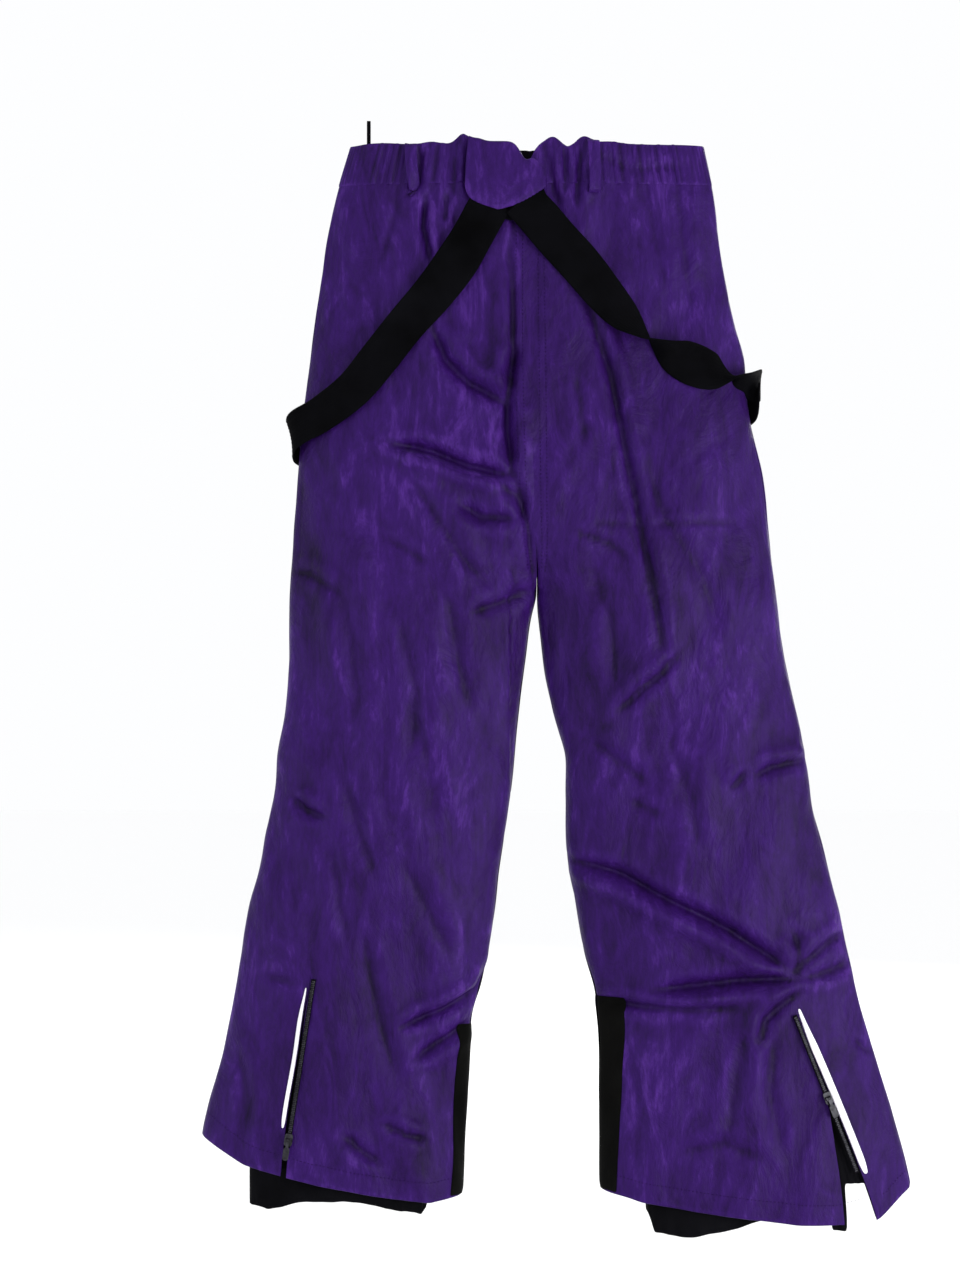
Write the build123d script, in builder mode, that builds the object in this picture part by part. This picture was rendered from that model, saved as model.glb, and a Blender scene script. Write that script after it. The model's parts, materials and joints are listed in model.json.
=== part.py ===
"""Insulated ski pants with braces, hung by the waistband.

Row frame: millimetres, +Z up, +Y towards the wearer's front, +X towards the wearer's right.
The origin is the middle of the waistband's top edge, on the line that a clip hanger holds.
"""

import os
from collections import namedtuple
from math import acos, cos, radians, sin

from build123d import *

# ---------------------------------------------------------------- driving dimensions
WAIST_BAND_HEIGHT = 40
WAIST_DEPTH = 24  # half of the front-to-back depth of the hanging garment at the waist

SHELL = (0.0, -1.0)  # outer and inner offset of each layer from the garment's surface
WADDING = (-1.3, -3.3)
LINING = (-3.6, -4.4)
TRIM = (1.5, 0.3)  # bands sewn on the outside
GUSSET = (-5.0, -5.8)
PIPING = (3.2, 1.0)

STRAP_WIDTH = 40
STRAP_THICKNESS = 2
STRAP_RISE = 6.0  # how far the middle of the webbing lies off the cloth
STRAP_FRONT_X = 95  # where each brace comes back up to the front waistband
STRAP_FRONT_Y = 41

BACK, FRONT = -1, 1

# One level of the garment's tube. outer is the side edge, inner the seam at the body's middle
# or the inseam, depth the half depth, and sweep how much of half an ellipse the cloth covers:
# a quarter at the waist, where left and right meet, and the whole half in a leg.
Level = namedtuple("Level", "z outer inner depth sweep")

LEFT_LEG = [
    Level(0, -178, 0, WAIST_DEPTH, 90),
    Level(-60, -193, 0, 27.5, 90),
    Level(-170, -212, 0, 34, 95),
    Level(-250, -223, 1, 38.6, 100),
    Level(-310, -229, 2, 42, 108),
    Level(-390, -235, 5, 45, 130),
    Level(-430, -238, 7, 46, 155),
    Level(-450, -239, 7, 46, 180),
    Level(-500, -241, 0, 44, 180),
    Level(-560, -243, -10, 42, 180),
    Level(-690, -264, -27, 40, 180),
    Level(-800, -285, -38, 38, 180),
    Level(-900, -304, -60, 38, 180),
    Level(-1090, -346, -72, 40, 180),
]
RIGHT_LEG = [
    Level(0, 177, 0, WAIST_DEPTH, 90),
    Level(-60, 187, 0, 27.5, 90),
    Level(-170, 206, 0, 34, 95),
    Level(-250, 219, 1, 38.6, 100),
    Level(-310, 229, 2, 42, 108),
    Level(-390, 239, 5, 45, 130),
    Level(-430, 244, 7, 46, 155),
    Level(-450, 246, 7, 46, 180),
    Level(-500, 254, 12, 44, 180),
    Level(-560, 263, 22, 42, 180),
    Level(-690, 292, 36, 40, 180),
    Level(-800, 316, 53, 38, 180),
    Level(-900, 343, 68, 38, 180),
    Level(-1090, 390, 72, 40, 180),
]
LEGS = {"left": LEFT_LEG, "right": RIGHT_LEG}

# Each hem as lines z = height + slope * x; the cloth above every line is kept.
HEMS = {"left": [(-1072, -0.26)], "right": [(-1032, -0.134), (-1344, 0.8)]}

# The ankle vent runs from its top to the hem. share is its place across the back panel, from
# the side seam at 0 to the inseam at 1, at its top and at the foot; gap is its width at the foot.
Vent = namedtuple("Vent", "top foot share_top share_foot gap")
VENTS = {
    "left": Vent(-822, -1060, 0.371, 0.389, 0.020),
    "right": Vent(-858, -1090, 0.345, 0.226, 0.095),
}

GUARD_TOP = {"left": -876, "right": -846}
GUARD_SHARE = {"left": 0.865, "right": 0.81}  # where each scuff guard starts on its panels

# The inner snow gaiter of each leg: middle and half width at its top and foot, and its levels.
Gaiter = namedtuple("Gaiter", "top foot top_x foot_x top_half foot_half")
GAITERS = {
    "left": Gaiter(-870, -1066, -182, -192, 100, 90),
    "right": Gaiter(-880, -1086, 208, 212, 108, 98),
}
GAITER_DEPTH = 24
GAITER_WALL = 1.2
GAITER_BAND = 16


# ---------------------------------------------------------------- the garment's surface
def level_at(levels, z):
    """The level at height z, straight between the two nearest ones."""
    for above, below in zip(levels, levels[1:]):
        if below.z <= z <= above.z:
            t = (above.z - z) / (above.z - below.z)
            return Level(*(a + (b - a) * t for a, b in zip(above, below)))
    return levels[-1]


def half_width(level):
    """Half the width of the ellipse that the level is a part of."""
    return abs(level.inner - level.outer) / (1 - cos(radians(level.sweep)))


def surface_point(level, face, share, offset=0.0):
    """A point of the cloth, from the side edge at share 0 to the inner seam at share 1."""
    way = 1 if level.inner > level.outer else -1
    angle = radians(level.sweep) * share
    reach = half_width(level) + offset
    x = level.outer + way * (half_width(level) - reach * cos(angle))
    return (x, face * (level.depth + offset) * sin(angle))


def surface_tangent(level, face, share, offset=0.0):
    """The direction of the cloth at a point, from the side edge towards the inner seam."""
    way = 1 if level.inner > level.outer else -1
    angle = radians(level.sweep) * share
    reach = half_width(level) + offset
    return (way * reach * sin(angle), face * (level.depth + offset) * cos(angle))


def laid(levels, face, x, z, rise):
    """A point lying on the cloth at x and z, raised off it, and the outward direction there."""
    level = level_at(levels, z)
    half = half_width(level)
    way = 1 if level.inner > level.outer else -1
    share = acos(max(-1, min(1, 1 - way * (x - level.outer) / half))) / radians(level.sweep)
    along_x, along_y = surface_tangent(level, face, share)
    outward = Vector(-face * way * along_y, face * way * along_x, 0).normalized()
    px, py = surface_point(level, face, share)
    return Vector(px, py, z) + outward * rise, outward


def vent_share(vent, z):
    """Where the vent's outer edge crosses height z."""
    t = (vent.top - z) / (vent.top - vent.foot)
    return vent.share_top + (vent.share_foot - vent.share_top) * t


def band(levels, face, layer, share=lambda z: (0.0, 1.0), samples=17):
    """A thin layer that follows the garment's surface through every level."""
    outer, inner = layer
    with BuildPart() as piece:
        for level in levels:
            start, end = share(level.z)
            shares = [start + (end - start) * i / (samples - 1) for i in range(samples)]
            outside = [surface_point(level, face, s, outer) for s in shares]
            inside = [surface_point(level, face, s, inner) for s in reversed(shares)]
            with BuildSketch(Plane.XY.offset(level.z)):
                with BuildLine():
                    Spline(*outside)
                    Line(outside[-1], inside[0])
                    Spline(*inside)
                    Line(inside[-1], outside[0])
                make_face()
        loft(ruled=True)
    return piece.part


def between(z_high, z_low):
    """A slab that keeps what lies between two heights."""
    with BuildPart() as slab:
        with BuildSketch(Plane.XY.offset(z_low)):
            Rectangle(1200, 400)
        extrude(amount=z_high - z_low)
    return slab.part


def hem_plane(height, slope):
    """The plane z = height + slope * x, facing up."""
    return Plane(origin=(0, 0, height), x_dir=(0, 1, 0), z_dir=(-slope, 0, 1))


def vent_wedge(side):
    """The prism that opens a back panel from the hem up to the vent's top."""
    levels, vent = LEGS[side], VENTS[side]
    corners = []
    for z, gap in ((vent.top, 0.0), (vent.foot, 0.0), (vent.foot, vent.gap)):
        share = vent_share(vent, z) + gap
        corners.append((surface_point(level_at(levels, z), BACK, share)[0], z))
    with BuildPart() as wedge:
        with BuildSketch(Plane.XZ):
            with BuildLine():
                Polyline(*corners, close=True)
            make_face()
        extrude(amount=80)
    return wedge.part


def panel(side, face, layer):
    """One cloth panel from waist to hem, with its hem cut and, at the back, its vent."""
    with BuildPart() as cloth:
        add(band(LEGS[side], face, layer))
        for height, slope in HEMS[side]:
            split(bisect_by=hem_plane(height, slope), keep=Keep.TOP)
        if face == BACK:
            add(vent_wedge(side), mode=Mode.SUBTRACT)
    return cloth


def strip(side, face, layer, share, z_high, z_low, samples=7):
    """Part of the surface between two heights, such as a patch or a row of piping."""
    with BuildPart() as patch:
        add(band(LEGS[side], face, layer, share, samples))
        add(between(z_high, z_low), mode=Mode.INTERSECT)
    return patch


def hemmed(piece, side):
    """The same piece cut off along the leg's hem."""
    with BuildPart() as cut:
        add(piece)
        for height, slope in HEMS[side]:
            split(bisect_by=hem_plane(height, slope), keep=Keep.TOP)
    return cut


# ---------------------------------------------------------------- small parts
def tape_plane(top, foot, normal):
    """The plane of a straight zip: its origin at the chain's top, local Y up the chain."""
    up = (Vector(*top) - Vector(*foot)).normalized()
    outward = Vector(*normal)
    outward = (outward - up * outward.dot(up)).normalized()
    return Plane(origin=top, x_dir=up.cross(outward), z_dir=outward)


def zip_chain(plane, length, width=9.0):
    """Two tapes with the row of closed coil standing on them."""
    tape, coil, coil_width = 0.8, 1.6, 4.0
    with BuildPart() as chain:
        with BuildSketch(plane):
            with Locations((0, -length / 2)):
                Rectangle(width, length)
        extrude(amount=tape)
        with BuildSketch(plane.offset(tape)):
            with Locations((0, -length / 2)):
                Rectangle(coil_width, length)
        extrude(amount=coil - tape)
    return chain


SLIDER_LIFT = 1.9  # from the tape's back to the slider's back, just clear of the coil
SLIDER_PLATE = 1.8
SLIDER_PIN_RISE = 2.1  # from the slider's face to the pull's pin
PIN_RADIUS = 0.6
EYE_RADIUS = 0.75
EAR_GAP = 3.4


def slider_pin(plane):
    """The middle of the pin that the pull hangs from."""
    rise = SLIDER_LIFT + SLIDER_PLATE + SLIDER_PIN_RISE
    return plane.from_local_coords(Vector(0, -6, rise))


def zip_slider(plane):
    """The slider's plate with two ears and the pin between them."""
    width, length, ear = 8.0, 12.0, 1.2
    face = SLIDER_LIFT + SLIDER_PLATE
    with BuildPart() as slider:
        with BuildSketch(plane.offset(SLIDER_LIFT)):
            with Locations((0, -length / 2)):
                RectangleRounded(width, length, 2.2)
        extrude(amount=SLIDER_PLATE)
        with BuildSketch(plane.offset(face)):
            for x in (-(EAR_GAP + ear) / 2, (EAR_GAP + ear) / 2):
                with Locations((x, -6)):
                    Rectangle(ear, 3.2)
        extrude(amount=SLIDER_PIN_RISE + 1.2)
        side = Plane(origin=slider_pin(plane), x_dir=plane.y_dir, z_dir=plane.x_dir)
        with BuildSketch(side.offset(-EAR_GAP / 2 - ear / 2)):
            Circle(PIN_RADIUS)
        extrude(amount=EAR_GAP + ear)
    return slider


def zip_pull(plane, length=24.0):
    """The flat pull, hanging from the slider's pin by a round eye."""
    width, thickness, eye = 2.8, 2.6, 1.5
    pin = slider_pin(plane)
    side = Plane(origin=pin, x_dir=plane.y_dir, z_dir=plane.x_dir)
    with BuildPart() as pull:
        with BuildSketch(side.offset(-width / 2)):
            Circle(eye)
            with Locations((-length / 2, 0)):
                Rectangle(length, thickness / 2)
            Circle(EYE_RADIUS, mode=Mode.SUBTRACT)
        extrude(amount=width)
        grip = Plane(origin=pin, x_dir=plane.x_dir, z_dir=plane.z_dir)
        with BuildSketch(grip.offset(-thickness / 4)):
            with Locations((0, -length * 0.68)):
                RectangleRounded(6.0, length * 0.6, 1.6)
        extrude(amount=thickness / 2)
    return pull


def save(builder, name):
    """Labels a finished piece and writes it as one STEP file."""
    builder.part.label = name
    export_step(builder.part, f"parts/{name}.step")


os.makedirs("parts", exist_ok=True)

# ---------------------------------------------------------------- shell, wadding and lining
for side in LEGS:
    for face_name, face in (("back", BACK), ("front", FRONT)):
        save(panel(side, face, SHELL), f"{side}_{face_name}_panel")
    for name, layer in (("wadding", WADDING), ("lining", LINING)):
        with BuildPart() as both_faces:
            add(panel(side, BACK, layer).part)
            add(panel(side, FRONT, layer).part)
            add(between(-6, -1200), mode=Mode.INTERSECT)
        save(both_faces, f"{side}_{name}")

# ---------------------------------------------------------------- waistband
def whole(z):
    """The full width of the cloth, at any height."""
    return (0.0, 1.0)


for face_name, face in (("back", BACK), ("front", FRONT)):
    with BuildPart() as waistband:
        for side in LEGS:
            add(strip(side, face, TRIM, whole, 0, -WAIST_BAND_HEIGHT, samples=17).part)
    save(waistband, f"waistband_{face_name}")

with BuildPart() as waist_elastic:
    for side in LEGS:
        elastic = strip(side, BACK, (-4.8, -6.0), lambda z: (0.35, 1.0), -4, -36, samples=11)
        add(elastic.part)
save(waist_elastic, "waist_elastic")

# The belt loops bridge the waistband, standing off it by a belt's thickness.
LOOP_PLACES = {BACK: (-118, 62), FRONT: (-166, 166)}
LOOP_WIDTH, LOOP_HEIGHT, LOOP_RISE, LOOP_WALL = 12, 48, 3.6, 1.2
with BuildPart() as belt_loops:
    for face, places in LOOP_PLACES.items():
        for x in places:
            levels = LEFT_LEG if x < 0 else RIGHT_LEG
            near_x = x - LOOP_WIDTH / 2 if x > 0 else x + LOOP_WIDTH / 2
            foot, _ = laid(levels, face, near_x, -50, TRIM[0] + 0.3)
            y = abs(foot.Y) + LOOP_RISE / 2
            with Locations((x, face * y, -26)):
                Box(LOOP_WIDTH, LOOP_RISE, LOOP_HEIGHT)
            with Locations((x, face * (y - LOOP_WALL), -26)):
                Box(LOOP_WIDTH + 2, LOOP_RISE, LOOP_HEIGHT - 10, mode=Mode.SUBTRACT)
save(belt_loops, "belt_loops")

# A loop of narrow tape inside each side of the waistband; the left one stands up out of it.
LOOP_TAPE = 1.2
with BuildPart() as hang_loops:
    for x, top in ((-163, 26), (160, -10)):
        with BuildSketch(Plane(origin=(x, 0, top - 28), x_dir=(0, 1, 0), z_dir=(1, 0, 0))):
            SlotOverall(56, 8, rotation=90)
            SlotOverall(56 - 2 * LOOP_TAPE, 8 - 2 * LOOP_TAPE, rotation=90, mode=Mode.SUBTRACT)
        extrude(amount=3.6)
save(hang_loops, "hang_loops")

# ---------------------------------------------------------------- braces at the back
PATCH_Y = WAIST_DEPTH + 7.0
with BuildPart() as strap_patch:
    with BuildSketch(Plane.XZ.offset(PATCH_Y)):
        with BuildLine():
            Polyline((-62, -26), (26, -26), (28, -74), (-62, -74), close=True)
        make_face()
    extrude(amount=STRAP_THICKNESS)
save(strap_patch, "strap_patch")

with BuildPart() as back_tab:
    with BuildSketch(Plane.XZ.offset(PATCH_Y + STRAP_THICKNESS + 0.4)):
        with BuildLine():
            tab_left = Line((-66, -2), (-74, -48))
            ThreePointArc(tab_left @ 1, (-36, -66), (2, -46))
            Polyline((2, -46), (-3, -2), (-66, -2))
        make_face()
    extrude(amount=1.6)
save(back_tab, "back_tab")

# Each brace crosses the back, goes round the side edge, hangs in a bow over the front and comes
# back up to its ring. The places on the cloth are (face, x, z).
LEFT_LAID = [
    (BACK, -34, -80),
    (BACK, -72, -123),
    (BACK, -100, -153),
    (BACK, -128, -183),
    (BACK, -150, -213),
    (BACK, -176, -243),
    (BACK, -203, -268),
    (BACK, -220, -283),
    (BACK, -228.4, -294),
    (FRONT, -221, -300),
    (FRONT, -200, -306),
    (FRONT, -176, -312),
]
RIGHT_LAID = [
    (BACK, 2, -78),
    (BACK, 36, -112),
    (BACK, 62, -146),
    (BACK, 92, -182),
    (BACK, 126, -206),
    (BACK, 160, -222),
    (BACK, 190, -232),
    (BACK, 209, -240),
    (BACK, 219.8, -250),
    (FRONT, 213, -258),
    (FRONT, 194, -268),
    (FRONT, 170, -278),
]
BOW_TURN = [(142, 55, 0), (116, 60, 14), (101, 58, 42), (96, 51, 84)]  # x, y and rise
UP = (0, 1, 0)


def brace(way, laid_places):
    """One brace as flat webbing, from the patch at the back to its ring at the front."""
    levels = LEFT_LEG if way < 0 else RIGHT_LEG
    route = [laid(levels, face, x, z, STRAP_RISE) for face, x, z in laid_places]
    bow_z = laid_places[-1][2] - 12
    banks = [(0, 0.9, -0.4), (-way * 0.4, 0.8, -0.4), (-way * 0.5, 0.85, -0.2), (0, 1, 0)]
    for (x, y, rise), bank in zip(BOW_TURN, banks):
        route.append(((way * x, y, bow_z + rise), bank))
    for z in (-170, -128, -66):
        route.append(((way * STRAP_FRONT_X, STRAP_FRONT_Y, z), UP))
    return ribbon(route)


def ribbon(route):
    """Flat webbing through a route of (point, outward normal) pairs, one length at a time."""
    points = [Vector(*point) for point, _ in route]
    planes = []
    for i, (_, normal) in enumerate(route):
        along = (points[min(i + 1, len(points) - 1)] - points[max(i - 1, 0)]).normalized()
        across = along.cross(Vector(*normal)).normalized()
        planes.append(Plane(origin=points[i], x_dir=across, z_dir=along))
    with BuildPart() as webbing:
        for start, end in zip(planes, planes[1:]):
            with BuildSketch(start, end):
                Rectangle(STRAP_WIDTH, STRAP_THICKNESS)
            loft(ruled=True)
    return webbing


# ---------------------------------------------------------------- braces at the front
RING_WIRE = 3.0
RING_WIDTH, RING_HEIGHT = 50, 16
RING_Z = -48  # the ring's top bar, which sits in the fold of a webbing loop
FOLD_INSIDE = 2.4
ADJUSTER_Z = -118
ADJUSTER_HEIGHT = 30


def fold(x, z, tail_foot, tail_top):
    """Webbing folded round a ring's bar, with the flat tail that leaves it behind the ring."""
    thickness = 1.5
    start = Plane(
        origin=(x - STRAP_WIDTH / 2, STRAP_FRONT_Y, z), x_dir=(0, 1, 0), z_dir=(1, 0, 0)
    )
    with BuildPart() as webbing:
        with BuildSketch(start):
            Circle(FOLD_INSIDE + thickness)
            Circle(FOLD_INSIDE, mode=Mode.SUBTRACT)
        extrude(amount=STRAP_WIDTH)
        with Locations((x, STRAP_FRONT_Y - FOLD_INSIDE - thickness / 2, (tail_foot + tail_top) / 2)):
            Box(STRAP_WIDTH, thickness, tail_top - tail_foot)
    return webbing


def strap_ring(x):
    """A rectangular wire ring: one bar in the webbing loop, the other in the brace."""
    middle = Plane.XZ.offset(-STRAP_FRONT_Y - RING_WIRE / 2)
    inner_width, inner_height = RING_WIDTH - 2 * RING_WIRE, RING_HEIGHT - 2 * RING_WIRE
    with BuildPart() as ring:
        with BuildSketch(middle):
            with Locations((x, RING_Z - (RING_HEIGHT - RING_WIRE) / 2)):
                RectangleRounded(RING_WIDTH, RING_HEIGHT, 4)
                RectangleRounded(inner_width, inner_height, 1.2, mode=Mode.SUBTRACT)
        extrude(amount=RING_WIRE)
        fillet(ring.edges().filter_by(GeomType.LINE).filter_by(Axis.X), radius=0.9)
    return ring


def strap_adjuster(x):
    """A tri-glide: a flat frame with a middle bar, which slides along the brace."""
    bar, window, wall = 5.0, 8.0, 1.5
    inside = STRAP_THICKNESS + 1.0
    with BuildPart() as glide:
        with Locations((x, STRAP_FRONT_Y, ADJUSTER_Z)):
            Box(STRAP_WIDTH + 12, inside + 2 * wall, ADJUSTER_HEIGHT)
            Box(STRAP_WIDTH + 3, inside, ADJUSTER_HEIGHT + 2, mode=Mode.SUBTRACT)
        for way in (-1, 1):
            with Locations((x, STRAP_FRONT_Y, ADJUSTER_Z + way * (bar + window) / 2)):
                Box(STRAP_WIDTH + 3, inside + 2 * wall + 2, window, mode=Mode.SUBTRACT)
    return glide


RING_FOOT = RING_Z - RING_HEIGHT + RING_WIRE  # the ring's lower bar
for side, way, laid_places in (("left", -1, LEFT_LAID), ("right", 1, RIGHT_LAID)):
    x = way * STRAP_FRONT_X
    with BuildPart() as strap:
        add(brace(way, laid_places).part)
        add(fold(x, RING_FOOT, -74, RING_FOOT).part)
        with Locations((x, STRAP_FRONT_Y - 1.6, -71)):
            Box(STRAP_WIDTH, 3.2, 6)
    save(strap, f"{side}_strap")
    save(fold(x, RING_Z, RING_Z, -8), f"{side}_strap_loop")
    save(strap_ring(x), f"{side}_strap_ring")
    save(strap_adjuster(x), f"{side}_strap_adjuster")

# ---------------------------------------------------------------- fly and waist tab
FLY_TOP, FLY_FOOT = -46, -196
FLY_RISE = 2.6  # the chain's back above the cloth
FLY = tape_plane(
    (0, level_at(LEFT_LEG, FLY_TOP).depth + FLY_RISE, FLY_TOP),
    (0, level_at(LEFT_LEG, FLY_FOOT).depth + FLY_RISE, FLY_FOOT),
    (0, 1, 0),
)
save(zip_chain(FLY, FLY_TOP - FLY_FOOT, width=14), "fly_zip_chain")
save(zip_slider(FLY), "fly_zip_slider")
save(zip_pull(FLY, length=26), "fly_zip_pull")

TAB_HINGE_X = 34
TAB_Y = WAIST_DEPTH + 6.2
SNAP_PLACES = [(-22, -13), (-22, -29)]
with BuildPart() as waist_tab:
    with BuildSketch(Plane.XZ.offset(-TAB_Y)):
        with BuildLine():
            Polyline(
                (TAB_HINGE_X, -2), (-28, -2), (-34, -8), (-34, -34), (-28, -40),
                (TAB_HINGE_X, -40), close=True,
            )
        make_face()
    extrude(amount=-1.8)
save(waist_tab, "waist_tab")

with BuildPart() as snap_caps:
    with BuildSketch(Plane.XZ.offset(-TAB_Y - 1.8)):
        with Locations(SNAP_PLACES):
            Circle(6)
    extrude(amount=-1.6)
    fillet(snap_caps.edges().group_by(Axis.Y)[-1], radius=1.0)
save(snap_caps, "snap_caps")

STUD_Y = TAB_Y - 2.4
with BuildPart() as snap_studs:
    for y, radius, height in ((STUD_Y, 5, 1.0), (STUD_Y + 1.0, 2, 1.1)):
        with BuildSketch(Plane.XZ.offset(-y)):
            with Locations(SNAP_PLACES):
                Circle(radius)
        extrude(amount=-height)
save(snap_studs, "snap_studs")

# ---------------------------------------------------------------- hand pockets
POCKET_TOP = (136, -56)  # x and z of each hand pocket's zip, on the front
POCKET_FOOT = (168, -196)
POCKET_RISE = 2.8  # the chain's back above the cloth


def pocket_plane(way):
    """The plane of one pocket's zip; way is -1 on the left and 1 on the right."""
    levels = LEFT_LEG if way < 0 else RIGHT_LEG
    ends, outwards = [], []
    for x, z in (POCKET_TOP, POCKET_FOOT):
        place, outward = laid(levels, FRONT, way * x, z, POCKET_RISE)
        ends.append(tuple(place))
        outwards.append(outward)
    return tape_plane(*ends, normal=tuple(outwards[0] + outwards[1]))


POCKET_LENGTH = (Vector(*POCKET_TOP) - Vector(*POCKET_FOOT)).length
for side, way in (("left", -1), ("right", 1)):
    opening = pocket_plane(way)
    save(zip_chain(opening, POCKET_LENGTH), f"{side}_pocket_zip_chain")
    save(zip_slider(opening), f"{side}_pocket_zip_slider")
    save(zip_pull(opening), f"{side}_pocket_zip_pull")
    bag = strip(side, FRONT, (-5.2, -7.2), lambda z: (0.30, 0.80), -60, -270, samples=9)
    save(bag, f"{side}_pocket_bag")

# ---------------------------------------------------------------- ankle vents
PIPING_WIDTH = {"left": 0.014, "right": 0.024}  # as a share of the panel
for side, vent in VENTS.items():
    low = vent.foot + (85 if side == "left" else 68)

    wide = PIPING_WIDTH[side]

    def piping_share(z, vent=vent, wide=wide):
        return (vent_share(vent, z) - wide, vent_share(vent, z) - 0.002)

    def gusset_share(z, vent=vent):
        return (vent_share(vent, z) - 0.07, vent_share(vent, z) + vent.gap + 0.07)

    piping = strip(side, BACK, PIPING, piping_share, vent.top - 8, low)
    save(piping, f"{side}_piping")
    gusset = strip(side, BACK, GUSSET, gusset_share, vent.top + 14, vent.foot + 10)
    save(hemmed(gusset.part, side), f"{side}_vent_gusset")

ANKLE_RISE = 2.2  # the chain's back above the cloth
ANKLE_CHAIN_LENGTH = 168
ANKLE_CHAIN_SHARE = 0.005  # the middle of the chain, just inside the vent's outer edge


def ankle_plane(side):
    """The plane of one ankle zip, along the outer edge of the vent."""
    levels, vent = LEGS[side], VENTS[side]
    ends, outwards = [], []
    for z in (vent.top - 6, vent.top - 6 - ANKLE_CHAIN_LENGTH):
        share = vent_share(vent, z) + ANKLE_CHAIN_SHARE
        x, _ = surface_point(level_at(levels, z), BACK, share)
        place, outward = laid(levels, BACK, x, z, ANKLE_RISE)
        ends.append(tuple(place))
        outwards.append(outward)
    return tape_plane(*ends, normal=tuple(outwards[0] + outwards[1]))


# The left vent is zipped down to its foot, and the right one is closed only half way down.
ANKLE_REST = {"left": ANKLE_CHAIN_LENGTH - 14, "right": 82}
for side in LEGS:
    edge = ankle_plane(side)
    along = edge.shift_origin(edge.from_local_coords(Vector(0, -ANKLE_REST[side], 0)))
    save(zip_chain(edge, ANKLE_CHAIN_LENGTH, width=4.6), f"{side}_ankle_zip_chain")
    save(zip_slider(along), f"{side}_ankle_zip_slider")
    save(zip_pull(along, length=20), f"{side}_ankle_zip_pull")

# ---------------------------------------------------------------- scuff guards
for side, levels in LEGS.items():
    top, start = GUARD_TOP[side], GUARD_SHARE[side]
    with BuildPart() as guard:
        for face in (BACK, FRONT):
            add(strip(side, face, (1.2, 0.3), lambda z, s=start: (s, 1.0), top, -1190).part)
    save(hemmed(guard.part, side), f"{side}_scuff_guard")


# ---------------------------------------------------------------- snow gaiters
def gaiter_ring(gaiter, top, foot, grow, wall):
    """A tapered oval sleeve between two heights, open at both ends."""
    with BuildPart() as sleeve:
        for part_grow, mode in ((grow, Mode.ADD), (grow - wall, Mode.SUBTRACT)):
            for z in (top, foot):
                t = (gaiter.top - z) / (gaiter.top - gaiter.foot)
                x = gaiter.top_x + (gaiter.foot_x - gaiter.top_x) * t
                half = gaiter.top_half + (gaiter.foot_half - gaiter.top_half) * t
                with BuildSketch(Plane.XY.offset(z)):
                    with Locations((x, 0)):
                        Ellipse(half + part_grow, GAITER_DEPTH + part_grow)
            loft(mode=mode)
    return sleeve


for side, gaiter in GAITERS.items():
    save(gaiter_ring(gaiter, gaiter.top, gaiter.foot, 0, GAITER_WALL), f"{side}_gaiter")
    elastic_top = gaiter.foot + GAITER_BAND
    elastic = gaiter_ring(gaiter, elastic_top, gaiter.foot, -GAITER_WALL - 0.3, 1.0)
    save(elastic, f"{side}_gaiter_elastic")
    with BuildPart() as lace_hook:
        hook = Plane(
            origin=(gaiter.foot_x, GAITER_DEPTH + 0.4, gaiter.foot + 26), z_dir=(0, 1, 0)
        )
        with BuildSketch(hook):
            RectangleRounded(14, 10, 2)
        extrude(amount=1.2)
        with BuildSketch(hook.offset(1.2)):
            with Locations((0, -3.5)):
                Rectangle(8, 3)
        extrude(amount=2.6)
        with BuildSketch(hook.offset(3.8)):
            with Locations((0, -1.5)):
                Rectangle(8, 7)
        extrude(amount=1.0)
    save(lace_hook, f"{side}_lace_hook")
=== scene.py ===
"""Ski pants hung by the waistband, seen from the back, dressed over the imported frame."""

import json
from math import cos, pi, radians, sin

import bpy
import numpy as np
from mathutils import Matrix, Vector, noise


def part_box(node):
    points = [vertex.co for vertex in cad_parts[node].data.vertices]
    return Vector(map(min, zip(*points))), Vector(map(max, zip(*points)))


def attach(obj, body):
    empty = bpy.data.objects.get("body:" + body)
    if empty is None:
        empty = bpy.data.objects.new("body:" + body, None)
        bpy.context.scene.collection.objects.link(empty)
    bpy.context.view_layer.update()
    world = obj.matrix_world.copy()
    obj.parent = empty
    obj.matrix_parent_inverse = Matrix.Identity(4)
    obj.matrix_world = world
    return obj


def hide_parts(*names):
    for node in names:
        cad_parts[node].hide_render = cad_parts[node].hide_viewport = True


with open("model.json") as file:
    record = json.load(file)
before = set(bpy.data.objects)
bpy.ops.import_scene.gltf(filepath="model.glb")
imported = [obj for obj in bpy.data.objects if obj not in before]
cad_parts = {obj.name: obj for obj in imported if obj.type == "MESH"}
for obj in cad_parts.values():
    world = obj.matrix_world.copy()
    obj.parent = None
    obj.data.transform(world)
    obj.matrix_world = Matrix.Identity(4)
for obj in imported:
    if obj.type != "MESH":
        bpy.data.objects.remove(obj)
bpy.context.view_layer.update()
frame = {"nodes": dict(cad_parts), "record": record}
MM = 0.001
BACK, FRONT = -1, 1

# Metres: the point looked at, the distance to it, and the height that the picture shows there.
VIEW_X, VIEW_Z = -0.050, -0.493
VIEW_DISTANCE, VIEW_HEIGHT = 3.0, 1.28
SENSOR = 36
FLOOR_Z = -1.175
FLOOR_HALF = 9.0


# ---------------------------------------------------------------- camera, floor and light
def aim(obj, target):
    obj.rotation_euler = (Vector(target) - obj.location).to_track_quat("-Z", "Y").to_euler()


def add_camera():
    data = bpy.data.cameras.new("camera")
    camera = bpy.data.objects.new("camera", data)
    camera.location = (VIEW_X, -VIEW_DISTANCE, VIEW_Z)
    data.sensor_width = SENSOR
    data.lens = SENSOR * VIEW_DISTANCE / VIEW_HEIGHT
    aim(camera, (VIEW_X, 0, VIEW_Z))
    bpy.context.collection.objects.link(camera)
    bpy.context.scene.camera = camera


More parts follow.
